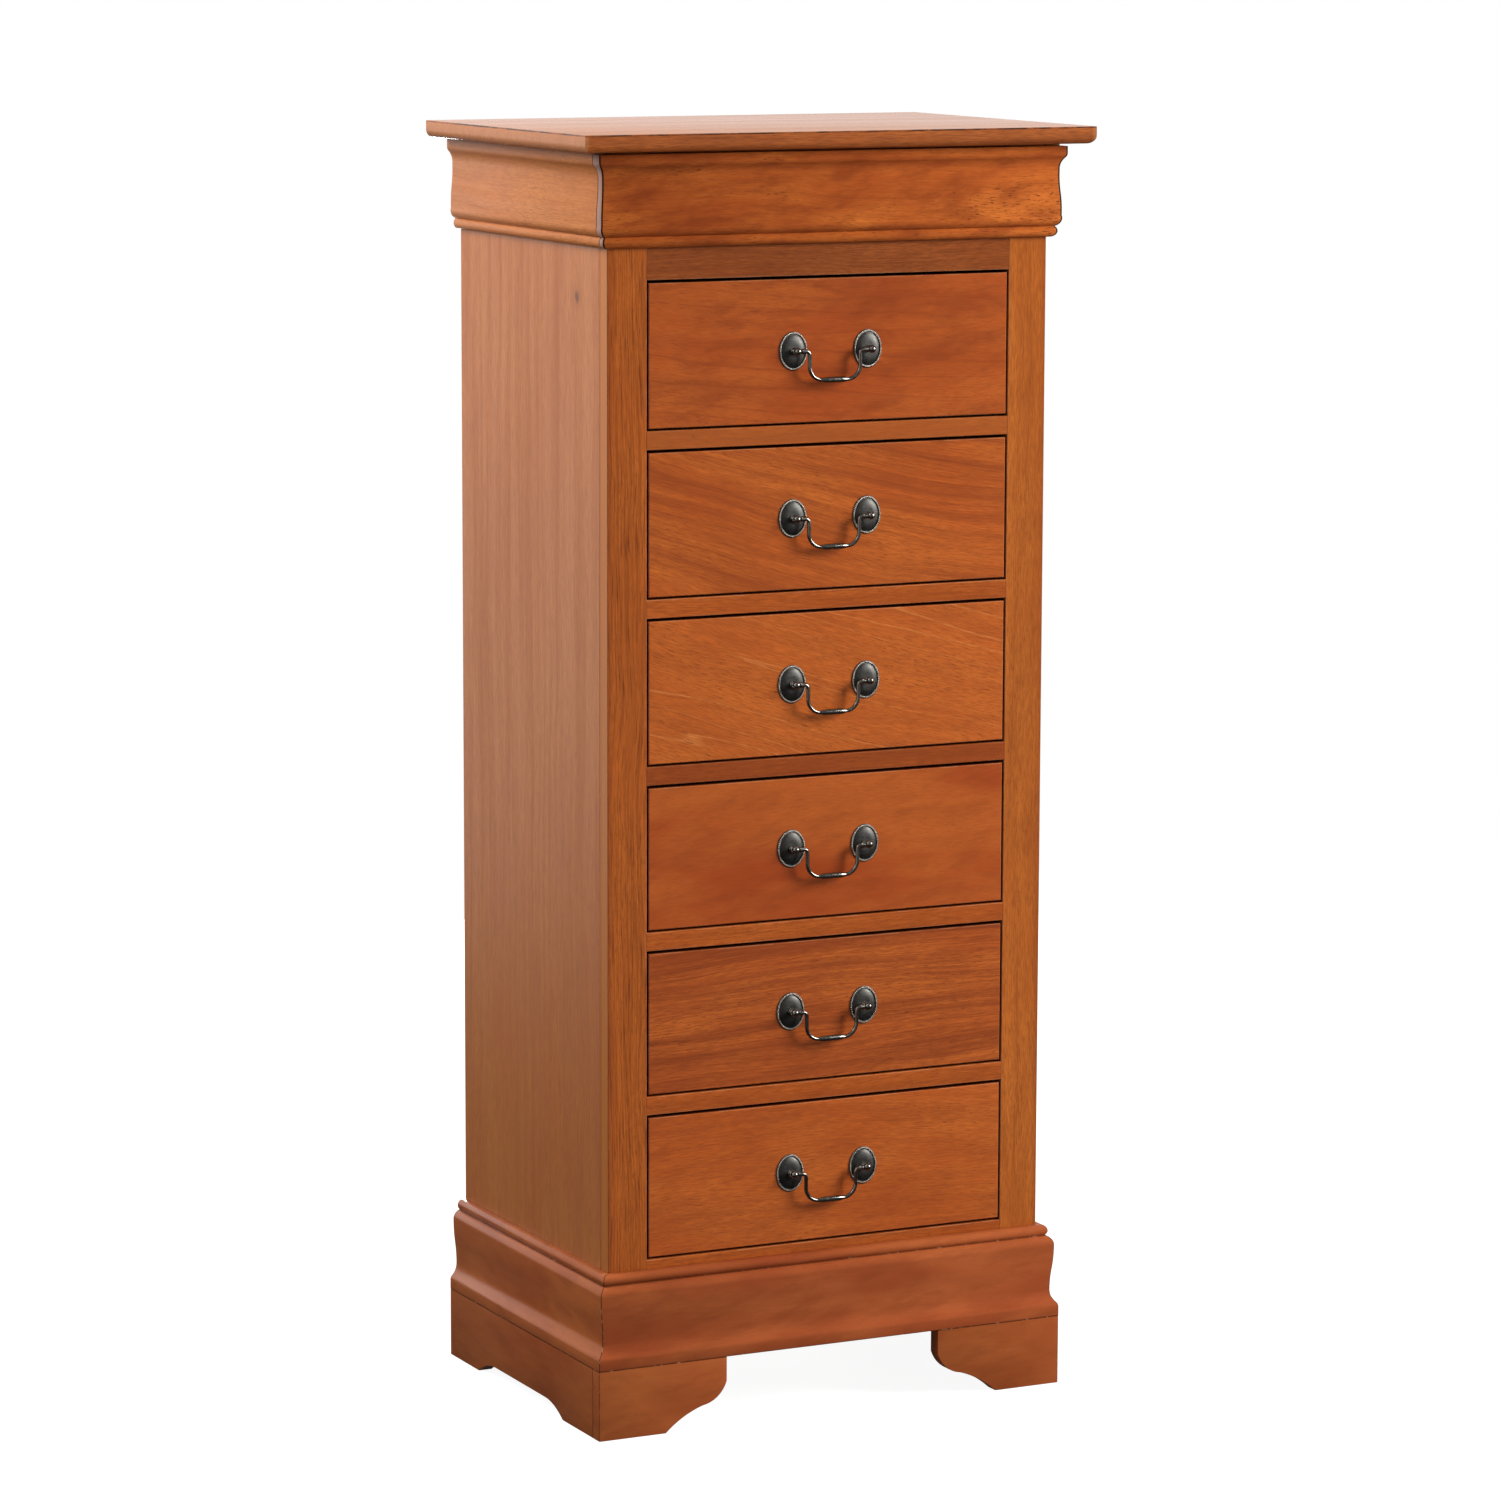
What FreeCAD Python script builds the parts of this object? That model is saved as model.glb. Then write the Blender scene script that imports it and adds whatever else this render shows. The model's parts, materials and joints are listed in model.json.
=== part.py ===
import FreeCAD, Part

import math
import os

# A tall narrow chest of drawers, in millimetres. It faces -Y and stands on Z = 0, with the
# origin on the floor below the middle of the top board. Six inset drawers with swinging bail
# pulls fill a face-framed case, and a seventh drawer hides behind the moulded frieze.

# Case
CASE_WIDTH = 486.0
CASE_DEPTH = 357.7
STILE_WIDTH = 42.5
FRAME_THICK = 18.5
SIDE_THICK = 15.0
BACK_THICK = 4.0
BACK_RABBET = 8.0
BOTTOM_THICK = 12.0
RAIL_HEIGHT = 18.5
BOTTOM_RAIL_SHOW = 9.0
TOP_RAIL_SHOW = 31.7
TOP_RAIL_LAP = 6.0
STRETCHER_HEIGHT = 15.0
BACK_RAIL_THICK = 18.0
CLEAT_WIDTH = 18.0
CLEAT_HEIGHT = 18.0
FRAME_EASE = 0.6

# Frame joints
TENON_LENGTH = 15.0
TENON_THICK = 8.0
TENON_SHOULDER = 3.0
MORTISE_ROOM = 1.0
TONGUE_LENGTH = 5.0
TONGUE_THICK = 6.0

# Top board
TOP_OVERHANG_SIDE = 38.0
TOP_OVERHANG_FRONT = 33.3
TOP_THICK = 17.4
TOP_EDGE_ROUND = 8.0

# Ogee mouldings, with distances out from the case and along from the flange to the bead
BASE_HEIGHT = 95.0
BASE_FLANGE = 18.2
BASE_NECK = 11.3
BASE_BELLY = 14.4
BASE_QUIRK = 7.4
CROWN_HEIGHT = 93.6
CROWN_FLANGE = 15.2
CROWN_NECK = 9.4
CROWN_BELLY = 11.2
CROWN_QUIRK = 6.2
FLANGE_HEIGHT = 12.6
COVE_HEIGHT = 13.8
COVE_BOW = 1.7
SWELL_BOW = 0.4
SHOULDER_HEIGHT = 11.0
SHOULDER_BOW = 2.4
BEAD_HEIGHT = 10.8
BEAD_TUCK = 5.2
BEAD_BOW = 4.6

# Feet and plinth
FOOT_HEIGHT = 71.4
FOOT_WIDTH = 141.3
FOOT_THICK = 15.8
FOOT_SOLE = 73.5
FOOT_EDGE = 24.9
LOBE_WIDTH = 27.2
LOBE_HEIGHT = 23.8
LOBE_BOW = 5.2
HOLLOW_BOW = 2.6
ARCH_RISE = 13.3
ARCH_EASE = 44.0
ARCH_BOW = 3.4
BLOCK_SIZE = 44.0
BLOCK_LIFT = 1.0
BRACE_WIDTH = 95.0
BRACE_THICK = 12.0
BRACE_EDGE = 30.0
BRACE_BOW = 9.0

# Drawers
DRAWER_COUNT = 6
FRONT_HEIGHT = 142.0
FRONT_THICK = 19.0
FRONT_EASE = 0.9
SIDE_GAP = 2.0
GAP_BELOW = 2.4
GAP_ABOVE = 3.0
BOX_THICK = 12.0
BOX_DROP = 16.0
BOX_BACK_DROP = 6.0
BOX_BACK_ROOM = 6.0
PLY_THICK = 5.0
PLY_LIFT = 8.0
GROOVE_DEPTH = 5.0
GROOVE_ROOM = 0.5
FRONT_LAP = 5.0
TAIL_COUNT = 3
PIN_WIDTH = 8.0
TAIL_SLOPE = 7.0

# Frieze drawer
FRIEZE_TOP_GAP = 2.6
FRIEZE_BACK_GAP = 0.5
FRIEZE_HEADROOM = 4.0
CROWN_SETBACK = 1.2

# Drawer runners
LEDGE_WIDTH = 16.0
LEDGE_THICK = 18.0
GUIDE_HEIGHT = 22.0
RUN_CLEAR = 0.3
STOP_LENGTH = 14.0
STOP_HEIGHT = 14.0
STOP_CLEAR = 0.3

# Bail pulls
PULL_SPREAD = 82.5
PIVOT_STANDOFF = 10.5
ROSETTE_WIDTH = 31.0
ROSETTE_HEIGHT = 38.5
ROSETTE_EDGE = 0.9
RIM_WIDTH = 2.2
RIM_RISE = 1.8
SEAT_WIDTH = 10.4
SEAT_RISE = 2.7
POST_SHANK = 4.0
POST_TAIL = 5.0
POST_FOOT = 7.0
POST_FOOT_RISE = 1.1
POST_NECK = 4.4
POST_BALL = 8.0
HOLE_CLEAR = 0.2
BAIL_WIRE = 4.0
BAIL_PIN = 3.2
PIN_OVERRUN = 2.0
PIVOT_CLEAR = 0.3
COLLAR_DIAMETER = 5.8
COLLAR_LENGTH = 4.7
COLLAR_EASE = 0.8
COLLAR_GAP = 0.5
NECK_BEND = 4.0
LEG_LENGTH = 10.8
BAIL_BEND = 14.0
GRIP_DIAMETER = 6.0
GRIP_TAPER = 4.0
ROSETTE_SIDES = 16
POST_SIDES = 10
BALL_BANDS = 4
BAIL_SIDES = 8
NECK_CHORDS = 2
BEND_CHORDS = 3

Vector = FreeCAD.Vector
ACROSS = Vector(1, 0, 0)
INWARD = Vector(0, 1, 0)
UP = Vector(0, 0, 1)
MIDDLE = Vector(0, 0, 0)
TOUCH = 0.01

# Levels, from the floor up
foot_top = FOOT_HEIGHT
base_top = foot_top + BASE_HEIGHT
opening_height = GAP_BELOW + FRONT_HEIGHT + GAP_ABOVE
lowest_opening = base_top + BOTTOM_RAIL_SHOW
opening_floors = [lowest_opening + k * (opening_height + RAIL_HEIGHT) for k in range(DRAWER_COUNT)]
top_rail_bottom = opening_floors[-1] + opening_height
crown_bottom = top_rail_bottom + TOP_RAIL_SHOW
case_top = crown_bottom + CROWN_HEIGHT
frieze_floor = crown_bottom + TOP_RAIL_LAP
frieze_ceiling = case_top - STRETCHER_HEIGHT
runner_rise = GAP_BELOW - RUN_CLEAR

# Places across the width and through the depth
half_case = CASE_WIDTH / 2
half_inside = half_case - SIDE_THICK
half_opening = half_case - STILE_WIDTH
half_drawer = half_opening - SIDE_GAP
half_box_inside = half_drawer - BOX_THICK
half_plinth = half_case + BASE_FLANGE
back = (CASE_DEPTH + TOP_OVERHANG_FRONT) / 2
front = back - CASE_DEPTH
frame_back = front + FRAME_THICK
back_inside = back - BACK_THICK
back_rail_front = back_inside - BACK_RAIL_THICK
drawer_back = back_rail_front - BOX_BACK_ROOM
foot_back = front - BASE_FLANGE + FOOT_THICK


def save(node, *solids):
    """Writes one node: a single piece, or a group of separate ones."""
    pieces = [piece for solid in solids for piece in solid.Solids]
    shape = pieces[0] if len(pieces) == 1 else Part.makeCompound(pieces)
    shape.exportStep(os.path.join("parts", node + ".step"))


def block(x0, x1, y0, y1, z0, z1):
    return Part.makeBox(x1 - x0, y1 - y0, z1 - z0, Vector(x0, y0, z0))


def mirrored(solid):
    return solid.mirror(MIDDLE, ACROSS)


def facing_front(y):
    return lambda x, z: Vector(x, y, z)


def facing_side(x):
    return lambda y, z: Vector(x, y, z)


def outline(place, start, *steps):
    """A face inside straight and bowed edges.

    A step is (u, v), or (u, v, bow) for an arc that stands bow to the left of its chord.
    """
    edges = []
    here = start
    for step in steps + (start,):
        there = step[:2]
        if len(step) == 3:
            du = there[0] - here[0]
            dv = there[1] - here[1]
            lean = step[2] / math.hypot(du, dv)
            crest = ((here[0] + there[0]) / 2 - dv * lean, (here[1] + there[1]) / 2 + du * lean)
            edges.append(Part.Arc(place(*here), place(*crest), place(*there)).toShape())
        else:
            edges.append(Part.makeLine(place(*here), place(*there)))
        here = there
    return Part.Face(Part.Wire(edges))


def edges_where(solid, chosen):
    """The straight edges whose middle the chosen test accepts."""
    return [edge for edge in solid.Edges if chosen(edge.CenterOfMass)]


def eased(solid, size, chosen):
    """Takes the sharpness off the chosen edges."""
    return solid.makeChamfer(size, edges_where(solid, chosen))


def near(value, target):
    return abs(value - target) < TOUCH


def ogee(start, flange, neck, belly, quirk, height):
    """Steps (out, along) of the moulding's face, from its flange to the end of its bead."""
    cove_end = FLANGE_HEIGHT + COVE_HEIGHT
    bead_start = height - BEAD_HEIGHT
    belly_at = bead_start - SHOULDER_HEIGHT
    return [
        (flange, start),
        (flange, FLANGE_HEIGHT),
        (neck, cove_end, COVE_BOW),
        ((neck + belly) / 2, (cove_end + belly_at) / 2, SWELL_BOW),
        (belly, belly_at, -SWELL_BOW),
        (quirk, bead_start, -SHOULDER_BOW),
        (quirk - BEAD_TUCK, height, -BEAD_BOW),
    ]


def crown_steps(start):
    return ogee(start, CROWN_FLANGE, CROWN_NECK, CROWN_BELLY, CROWN_QUIRK, CROWN_HEIGHT)


def base_steps():
    return ogee(0, BASE_FLANGE, BASE_NECK, BASE_BELLY, BASE_QUIRK, BASE_HEIGHT)


# Top board and case panels

def top_board():
    half_top = half_case + TOP_OVERHANG_SIDE
    board = block(-half_top, half_top, front - TOP_OVERHANG_FRONT, back, case_top, case_top + TOP_THICK)
    lower_edges = edges_where(board, lambda at: near(at.z, case_top) and not near(at.y, back))
    return board.makeFillet(TOP_EDGE_ROUND, lower_edges)


def side_panel():
    panel = block(half_inside, half_case, frame_back, back, foot_top, case_top)
    panel = eased(panel, FRAME_EASE, lambda at: near(at.y, frame_back) and near(at.x, half_case))
    rabbet = block(half_inside, half_inside + BACK_RABBET, back_inside, back, foot_top, case_top)
    return panel.cut(rabbet).fuse(tongue()).removeSplitter()


def tongue():
    middle = (half_case + half_inside) / 2
    return block(middle - TONGUE_THICK / 2, middle + TONGUE_THICK / 2,
                 frame_back - TONGUE_LENGTH, frame_back, foot_top, case_top)


def back_panel():
    half_back = half_inside + BACK_RABBET
    return block(-half_back, half_back, back_inside, back, foot_top, case_top)


def bottom_panel():
    return block(-half_inside, half_inside, frame_back, back_inside, foot_top, foot_top + BOTTOM_THICK)


# Face frame, joined by tenons

def rail(low, high):
    board = block(-half_opening, half_opening, front, frame_back, low, high)
    board = eased(board, FRAME_EASE, lambda at: near(at.y, front) and near(at.x, 0))
    return board.fuse(tenon(low, high, 0)).removeSplitter()


def tenon(low, high, room):
    """The tongue through a rail, as long as the rail, its two tenons and the room at each end."""
    reach = half_opening + TENON_LENGTH + room
    middle = (front + frame_back) / 2
    return block(-reach, reach, middle - TENON_THICK / 2, middle + TENON_THICK / 2,
                 low + TENON_SHOULDER, high - TENON_SHOULDER)


rail_levels = {
    "bottom_rail": (foot_top, lowest_opening),
    "top_rail": (top_rail_bottom, frieze_floor),
    "top_stretcher": (frieze_ceiling, case_top),
}
divider_levels = [(floor - RAIL_HEIGHT, floor) for floor in opening_floors[1:]]


def stile():
    board = block(half_opening, half_case, front, frame_back, foot_top, case_top)
    upright = (foot_top + case_top) / 2
    board = eased(board, FRAME_EASE, lambda at: near(at.z, upright) and near(at.y, front))
    board = eased(board, FRAME_EASE, lambda at: near(at.y, frame_back) and near(at.x, half_case))
    mortises = [tenon(low, high, MORTISE_ROOM) for low, high in divider_levels + list(rail_levels.values())]
    return board.cut(Part.makeCompound(mortises)).cut(tongue())


# Mouldings

def crown_side():
    face = outline(lambda out, along: Vector(half_case + out, front + CROWN_SETBACK, case_top - along),
                   (0, 0), *crown_steps(0), (0, CROWN_HEIGHT))
    return face.extrude(INWARD * (CASE_DEPTH - CROWN_SETBACK))


def base_face(place):
    return outline(place, (0, 0), *base_steps(), (0, BASE_HEIGHT))


def mitre_room(*corners):
    """A tall prism over a plan outline, which trims a moulding to its mitres."""
    face = outline(lambda x, y: Vector(x, y, foot_top), *corners)
    return face.extrude(UP * BASE_HEIGHT)


def base_front():
    reach = half_case + BASE_FLANGE
    length = base_face(lambda out, along: Vector(-reach, front - out, foot_top + along))
    length = length.extrude(ACROSS * 2 * reach)
    return length.common(mitre_room((-half_case, front), (-reach, front - BASE_FLANGE),
                                    (reach, front - BASE_FLANGE), (half_case, front)))


def base_side():
    reach = half_case + BASE_FLANGE
    start = front - BASE_FLANGE
    length = base_face(lambda out, along: Vector(half_case + out, start, foot_top + along))
    length = length.extrude(INWARD * (back - start))
    return length.common(mitre_room((half_case, front), (reach, start), (reach, back), (half_case, back)))


# Feet and plinth

def front_foot():
    inner = half_plinth - FOOT_WIDTH
    face = outline(facing_front(front - BASE_FLANGE),
                   (half_plinth, 0),
                   (half_plinth - FOOT_SOLE, 0),
                   (inner + LOBE_WIDTH, LOBE_HEIGHT, -HOLLOW_BOW),
                   (inner, foot_top - FOOT_EDGE, LOBE_BOW),
                   (inner, foot_top),
                   (half_plinth, foot_top))
    return face.extrude(INWARD * FOOT_THICK)


def plinth_side():
    arch_front = foot_back + FOOT_SOLE
    arch_rear = back - FOOT_SOLE
    face = outline(facing_side(half_plinth - FOOT_THICK),
                   (foot_back, 0),
                   (arch_front, 0),
                   (arch_front + ARCH_EASE, ARCH_RISE, ARCH_BOW),
                   (arch_rear - ARCH_EASE, ARCH_RISE),
                   (arch_rear, 0, ARCH_BOW),
                   (back, 0),
                   (back, foot_top),
                   (foot_back, foot_top))
    return face.extrude(ACROSS * FOOT_THICK)


def rear_brace():
    outer = half_plinth - FOOT_THICK
    inner = outer - BRACE_WIDTH
    face = outline(facing_front(back - BRACE_THICK),
                   (outer, 0),
                   (outer - BLOCK_SIZE, 0),
                   (inner, foot_top - BRACE_EDGE, -BRACE_BOW),
                   (inner, foot_top),
                   (outer, foot_top))
    return face.extrude(INWARD * BRACE_THICK)


def corner_blocks():
    outer = half_plinth - FOOT_THICK
    rear = back - BRACE_THICK
    return [block(outer - BLOCK_SIZE, outer, y, y + BLOCK_SIZE, BLOCK_LIFT, foot_top)
            for y in (foot_back, rear - BLOCK_SIZE)]


# Runners inside the case

def runner(floor):
    ledge_top = floor + runner_rise
    ledge_edge = half_opening - LEDGE_WIDTH
    face = outline(facing_front(frame_back),
                   (ledge_edge, ledge_top - LEDGE_THICK),
                   (half_inside, ledge_top - LEDGE_THICK),
                   (half_inside, ledge_top + GUIDE_HEIGHT),
                   (half_opening, ledge_top + GUIDE_HEIGHT),
                   (half_opening, ledge_top),
                   (ledge_edge, ledge_top))
    return face.extrude(INWARD * (back_inside - frame_back))


def drawer_stop(floor):
    ledge_top = floor + runner_rise
    start = drawer_back + STOP_CLEAR
    return block(half_opening - LEDGE_WIDTH, half_opening, start, start + STOP_LENGTH,
                 ledge_top, ledge_top + STOP_HEIGHT)


def back_rail():
    low = frieze_floor + runner_rise + GUIDE_HEIGHT
    return block(-half_inside, half_inside, back_rail_front, back_inside, low, case_top)


def top_cleat():
    return block(half_inside - CLEAT_WIDTH, half_inside, frame_back, back_rail_front,
                 case_top - CLEAT_HEIGHT, case_top)


# Drawer boxes, dovetailed at the corners

def tails(low, high, tip, shoulder):
    """Four corners (y, z) of each tail between two levels, from the lowest up."""
    cell = (high - low) / TAIL_COUNT
    wide = (cell - PIN_WIDTH) / 2
    narrow = wide - abs(tip - shoulder) / TAIL_SLOPE
    middles = [low + cell * (k + 0.5) for k in range(TAIL_COUNT)]
    return [((shoulder, z - narrow), (tip, z - wide), (tip, z + wide), (shoulder, z + narrow))
            for z in middles]


def sockets(corners):
    """The room that the tails take up in the boards at both ends of a joint."""
    right = [outline(facing_side(half_box_inside), *tail).extrude(ACROSS * BOX_THICK) for tail in corners]
    return Part.makeCompound(right + [mirrored(tail) for tail in right])


class DrawerBox:
    """Two sides, a back and a bottom, dovetailed to a board at the front."""

    def __init__(self, low, high, tip, shoulder):
        back_low = low + PLY_LIFT + PLY_THICK
        back_high = high - BOX_BACK_DROP
        rear = drawer_back - BOX_THICK
        self.front_tails = tails(low, high, tip, shoulder)
        back_tails = tails(back_low, back_high, drawer_back, rear)
        groove_x = half_box_inside + GROOVE_DEPTH
        groove_y = shoulder - GROOVE_DEPTH
        self.groove = block(-groove_x, groove_x, groove_y, drawer_back, low + PLY_LIFT, back_low)

        edge = [(shoulder, low), (drawer_back, low), (drawer_back, back_low), (rear, back_low)]
        for tail in back_tails:
            edge += tail
        edge += [(rear, back_high), (drawer_back, back_high), (drawer_back, high), (shoulder, high)]
        for tail in reversed(self.front_tails):
            edge += reversed(tail)
        side = outline(facing_side(half_box_inside), *edge).extrude(ACROSS * BOX_THICK).cut(self.groove)
        board = block(-half_drawer, half_drawer, rear, drawer_back, back_low, back_high)
        self.pieces = [side, mirrored(side), board.cut(sockets(back_tails))]
        half_bottom = groove_x - GROOVE_ROOM
        self.bottom = block(-half_bottom, half_bottom, groove_y + GROOVE_ROOM, drawer_back,
                            low + PLY_LIFT, back_low)

    def joined(self, board):
        """The front board with its dovetail sockets and its groove for the bottom."""
        return board.cut(sockets(self.front_tails)).cut(self.groove)


def drawer_front(low):
    board = block(-half_drawer, half_drawer, front, front + FRONT_THICK, low, low + FRONT_HEIGHT)
    board = eased(board, FRONT_EASE, lambda at: near(at.y, front))
    for x in (-PULL_SPREAD / 2, PULL_SPREAD / 2):
        board = board.cut(post_hole(x, low + FRONT_HEIGHT / 2))
    return board


def frieze_front():
    """The ogee board across the top, with its moulding carried round both ends."""
    far = half_case + CROWN_FLANGE
    steps = crown_steps(FRIEZE_TOP_GAP)
    board = outline(lambda out, along: Vector(-far, front - out, case_top - along),
                    (FRIEZE_BACK_GAP, FRIEZE_TOP_GAP), *steps, (FRIEZE_BACK_GAP, CROWN_HEIGHT))
    board = board.extrude(ACROSS * 2 * far)
    end = outline(lambda out, along: Vector(half_case + out, front - CROWN_FLANGE, case_top - along),
                  (-far - half_case, FRIEZE_TOP_GAP), *steps, (-far - half_case, CROWN_HEIGHT))
    end = end.extrude(INWARD * CROWN_FLANGE)
    return board.common(end).common(mirrored(end))


# Bail pulls

def ring(middle, wide, tall, sides):
    """Corners of a many-sided oval about a middle point, given by its two half axes."""
    turns = [math.tau * (k + 0.5) / sides for k in range(sides)]
    return [middle + wide * math.cos(turn) + tall * math.sin(turn) for turn in turns]


def flat_face(corners):
    return Part.Face(Part.makePolygon(corners + corners[:1]))


def skinned(rings):
    """A solid through rings of corners, with flat faces from each ring to the next."""
    faces = [flat_face(rings[0]), flat_face(rings[-1])]
    for here, there in zip(rings, rings[1:]):
        faces += [flat_face([here[k - 1], here[k], there[k], there[k - 1]]) for k in range(len(here))]
    shell = Part.makeShell(faces)
    shell.sewShape()
    return Part.makeSolid(shell)


def turned(x, z, bands):
    """A round piece square to the drawer front, through bands of (radius, rise)."""
    rings = [ring(Vector(x, front - rise, z), ACROSS * radius, UP * radius, POST_SIDES)
             for radius, rise in bands]
    return skinned(rings)


def post_hole(x, z):
    radius = POST_SHANK / 2 + HOLE_CLEAR
    return turned(x, z, [(radius, -FRONT_THICK), (radius, SEAT_RISE)])


def rosette(x, z):
    """An oval plate with a raised rim, a groove inside it and a field that climbs to the post."""
    bands = [(ROSETTE_WIDTH, 0), (ROSETTE_WIDTH, ROSETTE_EDGE), (ROSETTE_WIDTH - RIM_WIDTH, RIM_RISE),
             (ROSETTE_WIDTH - 2 * RIM_WIDTH, ROSETTE_EDGE), (SEAT_WIDTH, SEAT_RISE)]
    tallness = ROSETTE_HEIGHT / ROSETTE_WIDTH
    ovals = [ring(Vector(x, front - rise, z), ACROSS * width / 2, UP * width / 2 * tallness, ROSETTE_SIDES)
             for width, rise in bands]
    return skinned(ovals).cut(post_hole(x, z))


def post(x, z):
    """A turned post: its shank runs back through the drawer front, its ball holds the bail."""
    shank = POST_SHANK / 2
    foot = POST_FOOT / 2
    neck = POST_NECK / 2
    ball = POST_BALL / 2
    neck_turn = math.pi - math.asin(neck / ball)
    ball_turns = [neck_turn * (1 - k / BALL_BANDS) for k in range(BALL_BANDS)]
    bands = [(foot, SEAT_RISE), (foot, SEAT_RISE + POST_FOOT_RISE)]
    bands += [(ball * math.sin(turn), PIVOT_STANDOFF + ball * math.cos(turn)) for turn in ball_turns]
    eye = BAIL_PIN / 2 + PIVOT_CLEAR
    eye_ends = [Vector(end, front - PIVOT_STANDOFF, z) for end in (x - ball, x + ball)]
    eye_room = skinned([ring(end, INWARD * eye, UP * eye, BAIL_SIDES) for end in eye_ends])
    stem = turned(x, z, [(shank, -FRONT_THICK - POST_TAIL), (shank, SEAT_RISE)])
    return turned(x, z, bands).cut(eye_room).fuse(stem)


def bail(z):
    """A swan-necked wire bail, from the pin in one post's eye to the pin in the other's."""
    pin = BAIL_PIN / 2
    collar = COLLAR_DIAMETER / 2
    wire = BAIL_WIRE / 2
    pin_end = PULL_SPREAD / 2 + PIN_OVERRUN
    collar_end = PULL_SPREAD / 2 - POST_BALL / 2 - COLLAR_GAP
    neck_start = collar_end - COLLAR_LENGTH
    leg = neck_start - NECK_BEND
    leg_low = z - NECK_BEND - LEG_LENGTH
    grip_end = leg - BAIL_BEND
    grip_level = leg_low - BAIL_BEND
    quarter = math.pi / 2

    # Places (x, z, lean, radius) along the left half, where the lean is the route's own
    route = [(-pin_end, z, 0, pin), (-collar_end, z, 0, pin), (COLLAR_EASE - collar_end, z, 0, collar),
             (-neck_start - COLLAR_EASE, z, 0, collar), (-neck_start, z, 0, wire)]
    for k in range(1, NECK_CHORDS + 1):
        turn = quarter * k / NECK_CHORDS
        route.append((NECK_BEND * math.sin(turn) - neck_start, z - NECK_BEND * (1 - math.cos(turn)),
                      -turn, wire))
    for k in range(BEND_CHORDS + 1):
        turn = quarter * k / BEND_CHORDS
        route.append((-grip_end - BAIL_BEND * math.cos(turn), leg_low - BAIL_BEND * math.sin(turn),
                      turn - quarter, wire))
    route.append((GRIP_TAPER - grip_end, grip_level, 0, GRIP_DIAMETER / 2))
    route += [(-x, level, -lean, radius) for x, level, lean, radius in reversed(route)]

    rings = []
    for x, level, lean, radius in route:
        across = Vector(-math.sin(lean), 0, math.cos(lean))
        middle = Vector(x, front - PIVOT_STANDOFF, level)
        rings.append(ring(middle, INWARD * radius, across * radius, BAIL_SIDES))
    return skinned(rings)


def save_pair(name, solid):
    save(name + "_right", solid)
    save(name + "_left", mirrored(solid))


def save_mirrored_group(name, solids):
    save(name, *solids, *[mirrored(solid) for solid in solids])


def save_drawer(name, low):
    box = DrawerBox(low, low + FRONT_HEIGHT - BOX_DROP, front + FRONT_LAP, front + FRONT_THICK)
    middle = low + FRONT_HEIGHT / 2
    save(name + "_front", box.joined(drawer_front(low)))
    save(name + "_box", *box.pieces)
    save(name + "_bottom", box.bottom)
    pull = [rosette(PULL_SPREAD / 2, middle), post(PULL_SPREAD / 2, middle)]
    save_mirrored_group(name + "_pull", pull)
    save(name + "_bail", bail(middle))


def save_frieze_drawer():
    low = frieze_floor + GAP_BELOW
    high = frieze_ceiling - FRIEZE_HEADROOM
    face = front - FRIEZE_BACK_GAP
    inner = face + BOX_THICK
    box = DrawerBox(low, high, face, inner)
    board = block(-half_drawer, half_drawer, face, inner, low, high)
    save("frieze_drawer_front", frieze_front())
    save("frieze_drawer_box", box.joined(board), *box.pieces)
    save("frieze_drawer_bottom", box.bottom)


def save_case():
    runner_floors = opening_floors + [frieze_floor]
    save("top_board", top_board())
    save_pair("side_panel", side_panel())
    save_pair("stile", stile())
    save("back_panel", back_panel())
    save("bottom_panel", bottom_panel())
    for name, (low, high) in rail_levels.items():
        save(name, rail(low, high))
    save("divider_rails", *[rail(low, high) for low, high in divider_levels])
    save("back_rail", back_rail())
    save_mirrored_group("top_cleats", [top_cleat()])
    save_pair("crown_moulding", crown_side())
    save("base_moulding_front", base_front())
    save_pair("base_moulding", base_side())
    save_pair("front_foot", front_foot())
    save_pair("plinth_side", plinth_side())
    save_mirrored_group("rear_foot_braces", [rear_brace()])
    save_mirrored_group("corner_blocks", corner_blocks())
    runners = [runner(floor) for floor in runner_floors]
    save("drawer_runners_right", *runners)
    save("drawer_runners_left", *[mirrored(piece) for piece in runners])
    save_mirrored_group("drawer_stops", [drawer_stop(floor) for floor in runner_floors])


os.makedirs("parts", exist_ok=True)
save_case()
save_frieze_drawer()
for number, floor in enumerate(reversed(opening_floors), start=1):
    save_drawer("drawer_" + str(number), floor + GAP_BELOW)
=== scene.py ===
import json
import math
from collections import namedtuple

import bmesh
import bpy
from mathutils import Matrix, Vector


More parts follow.
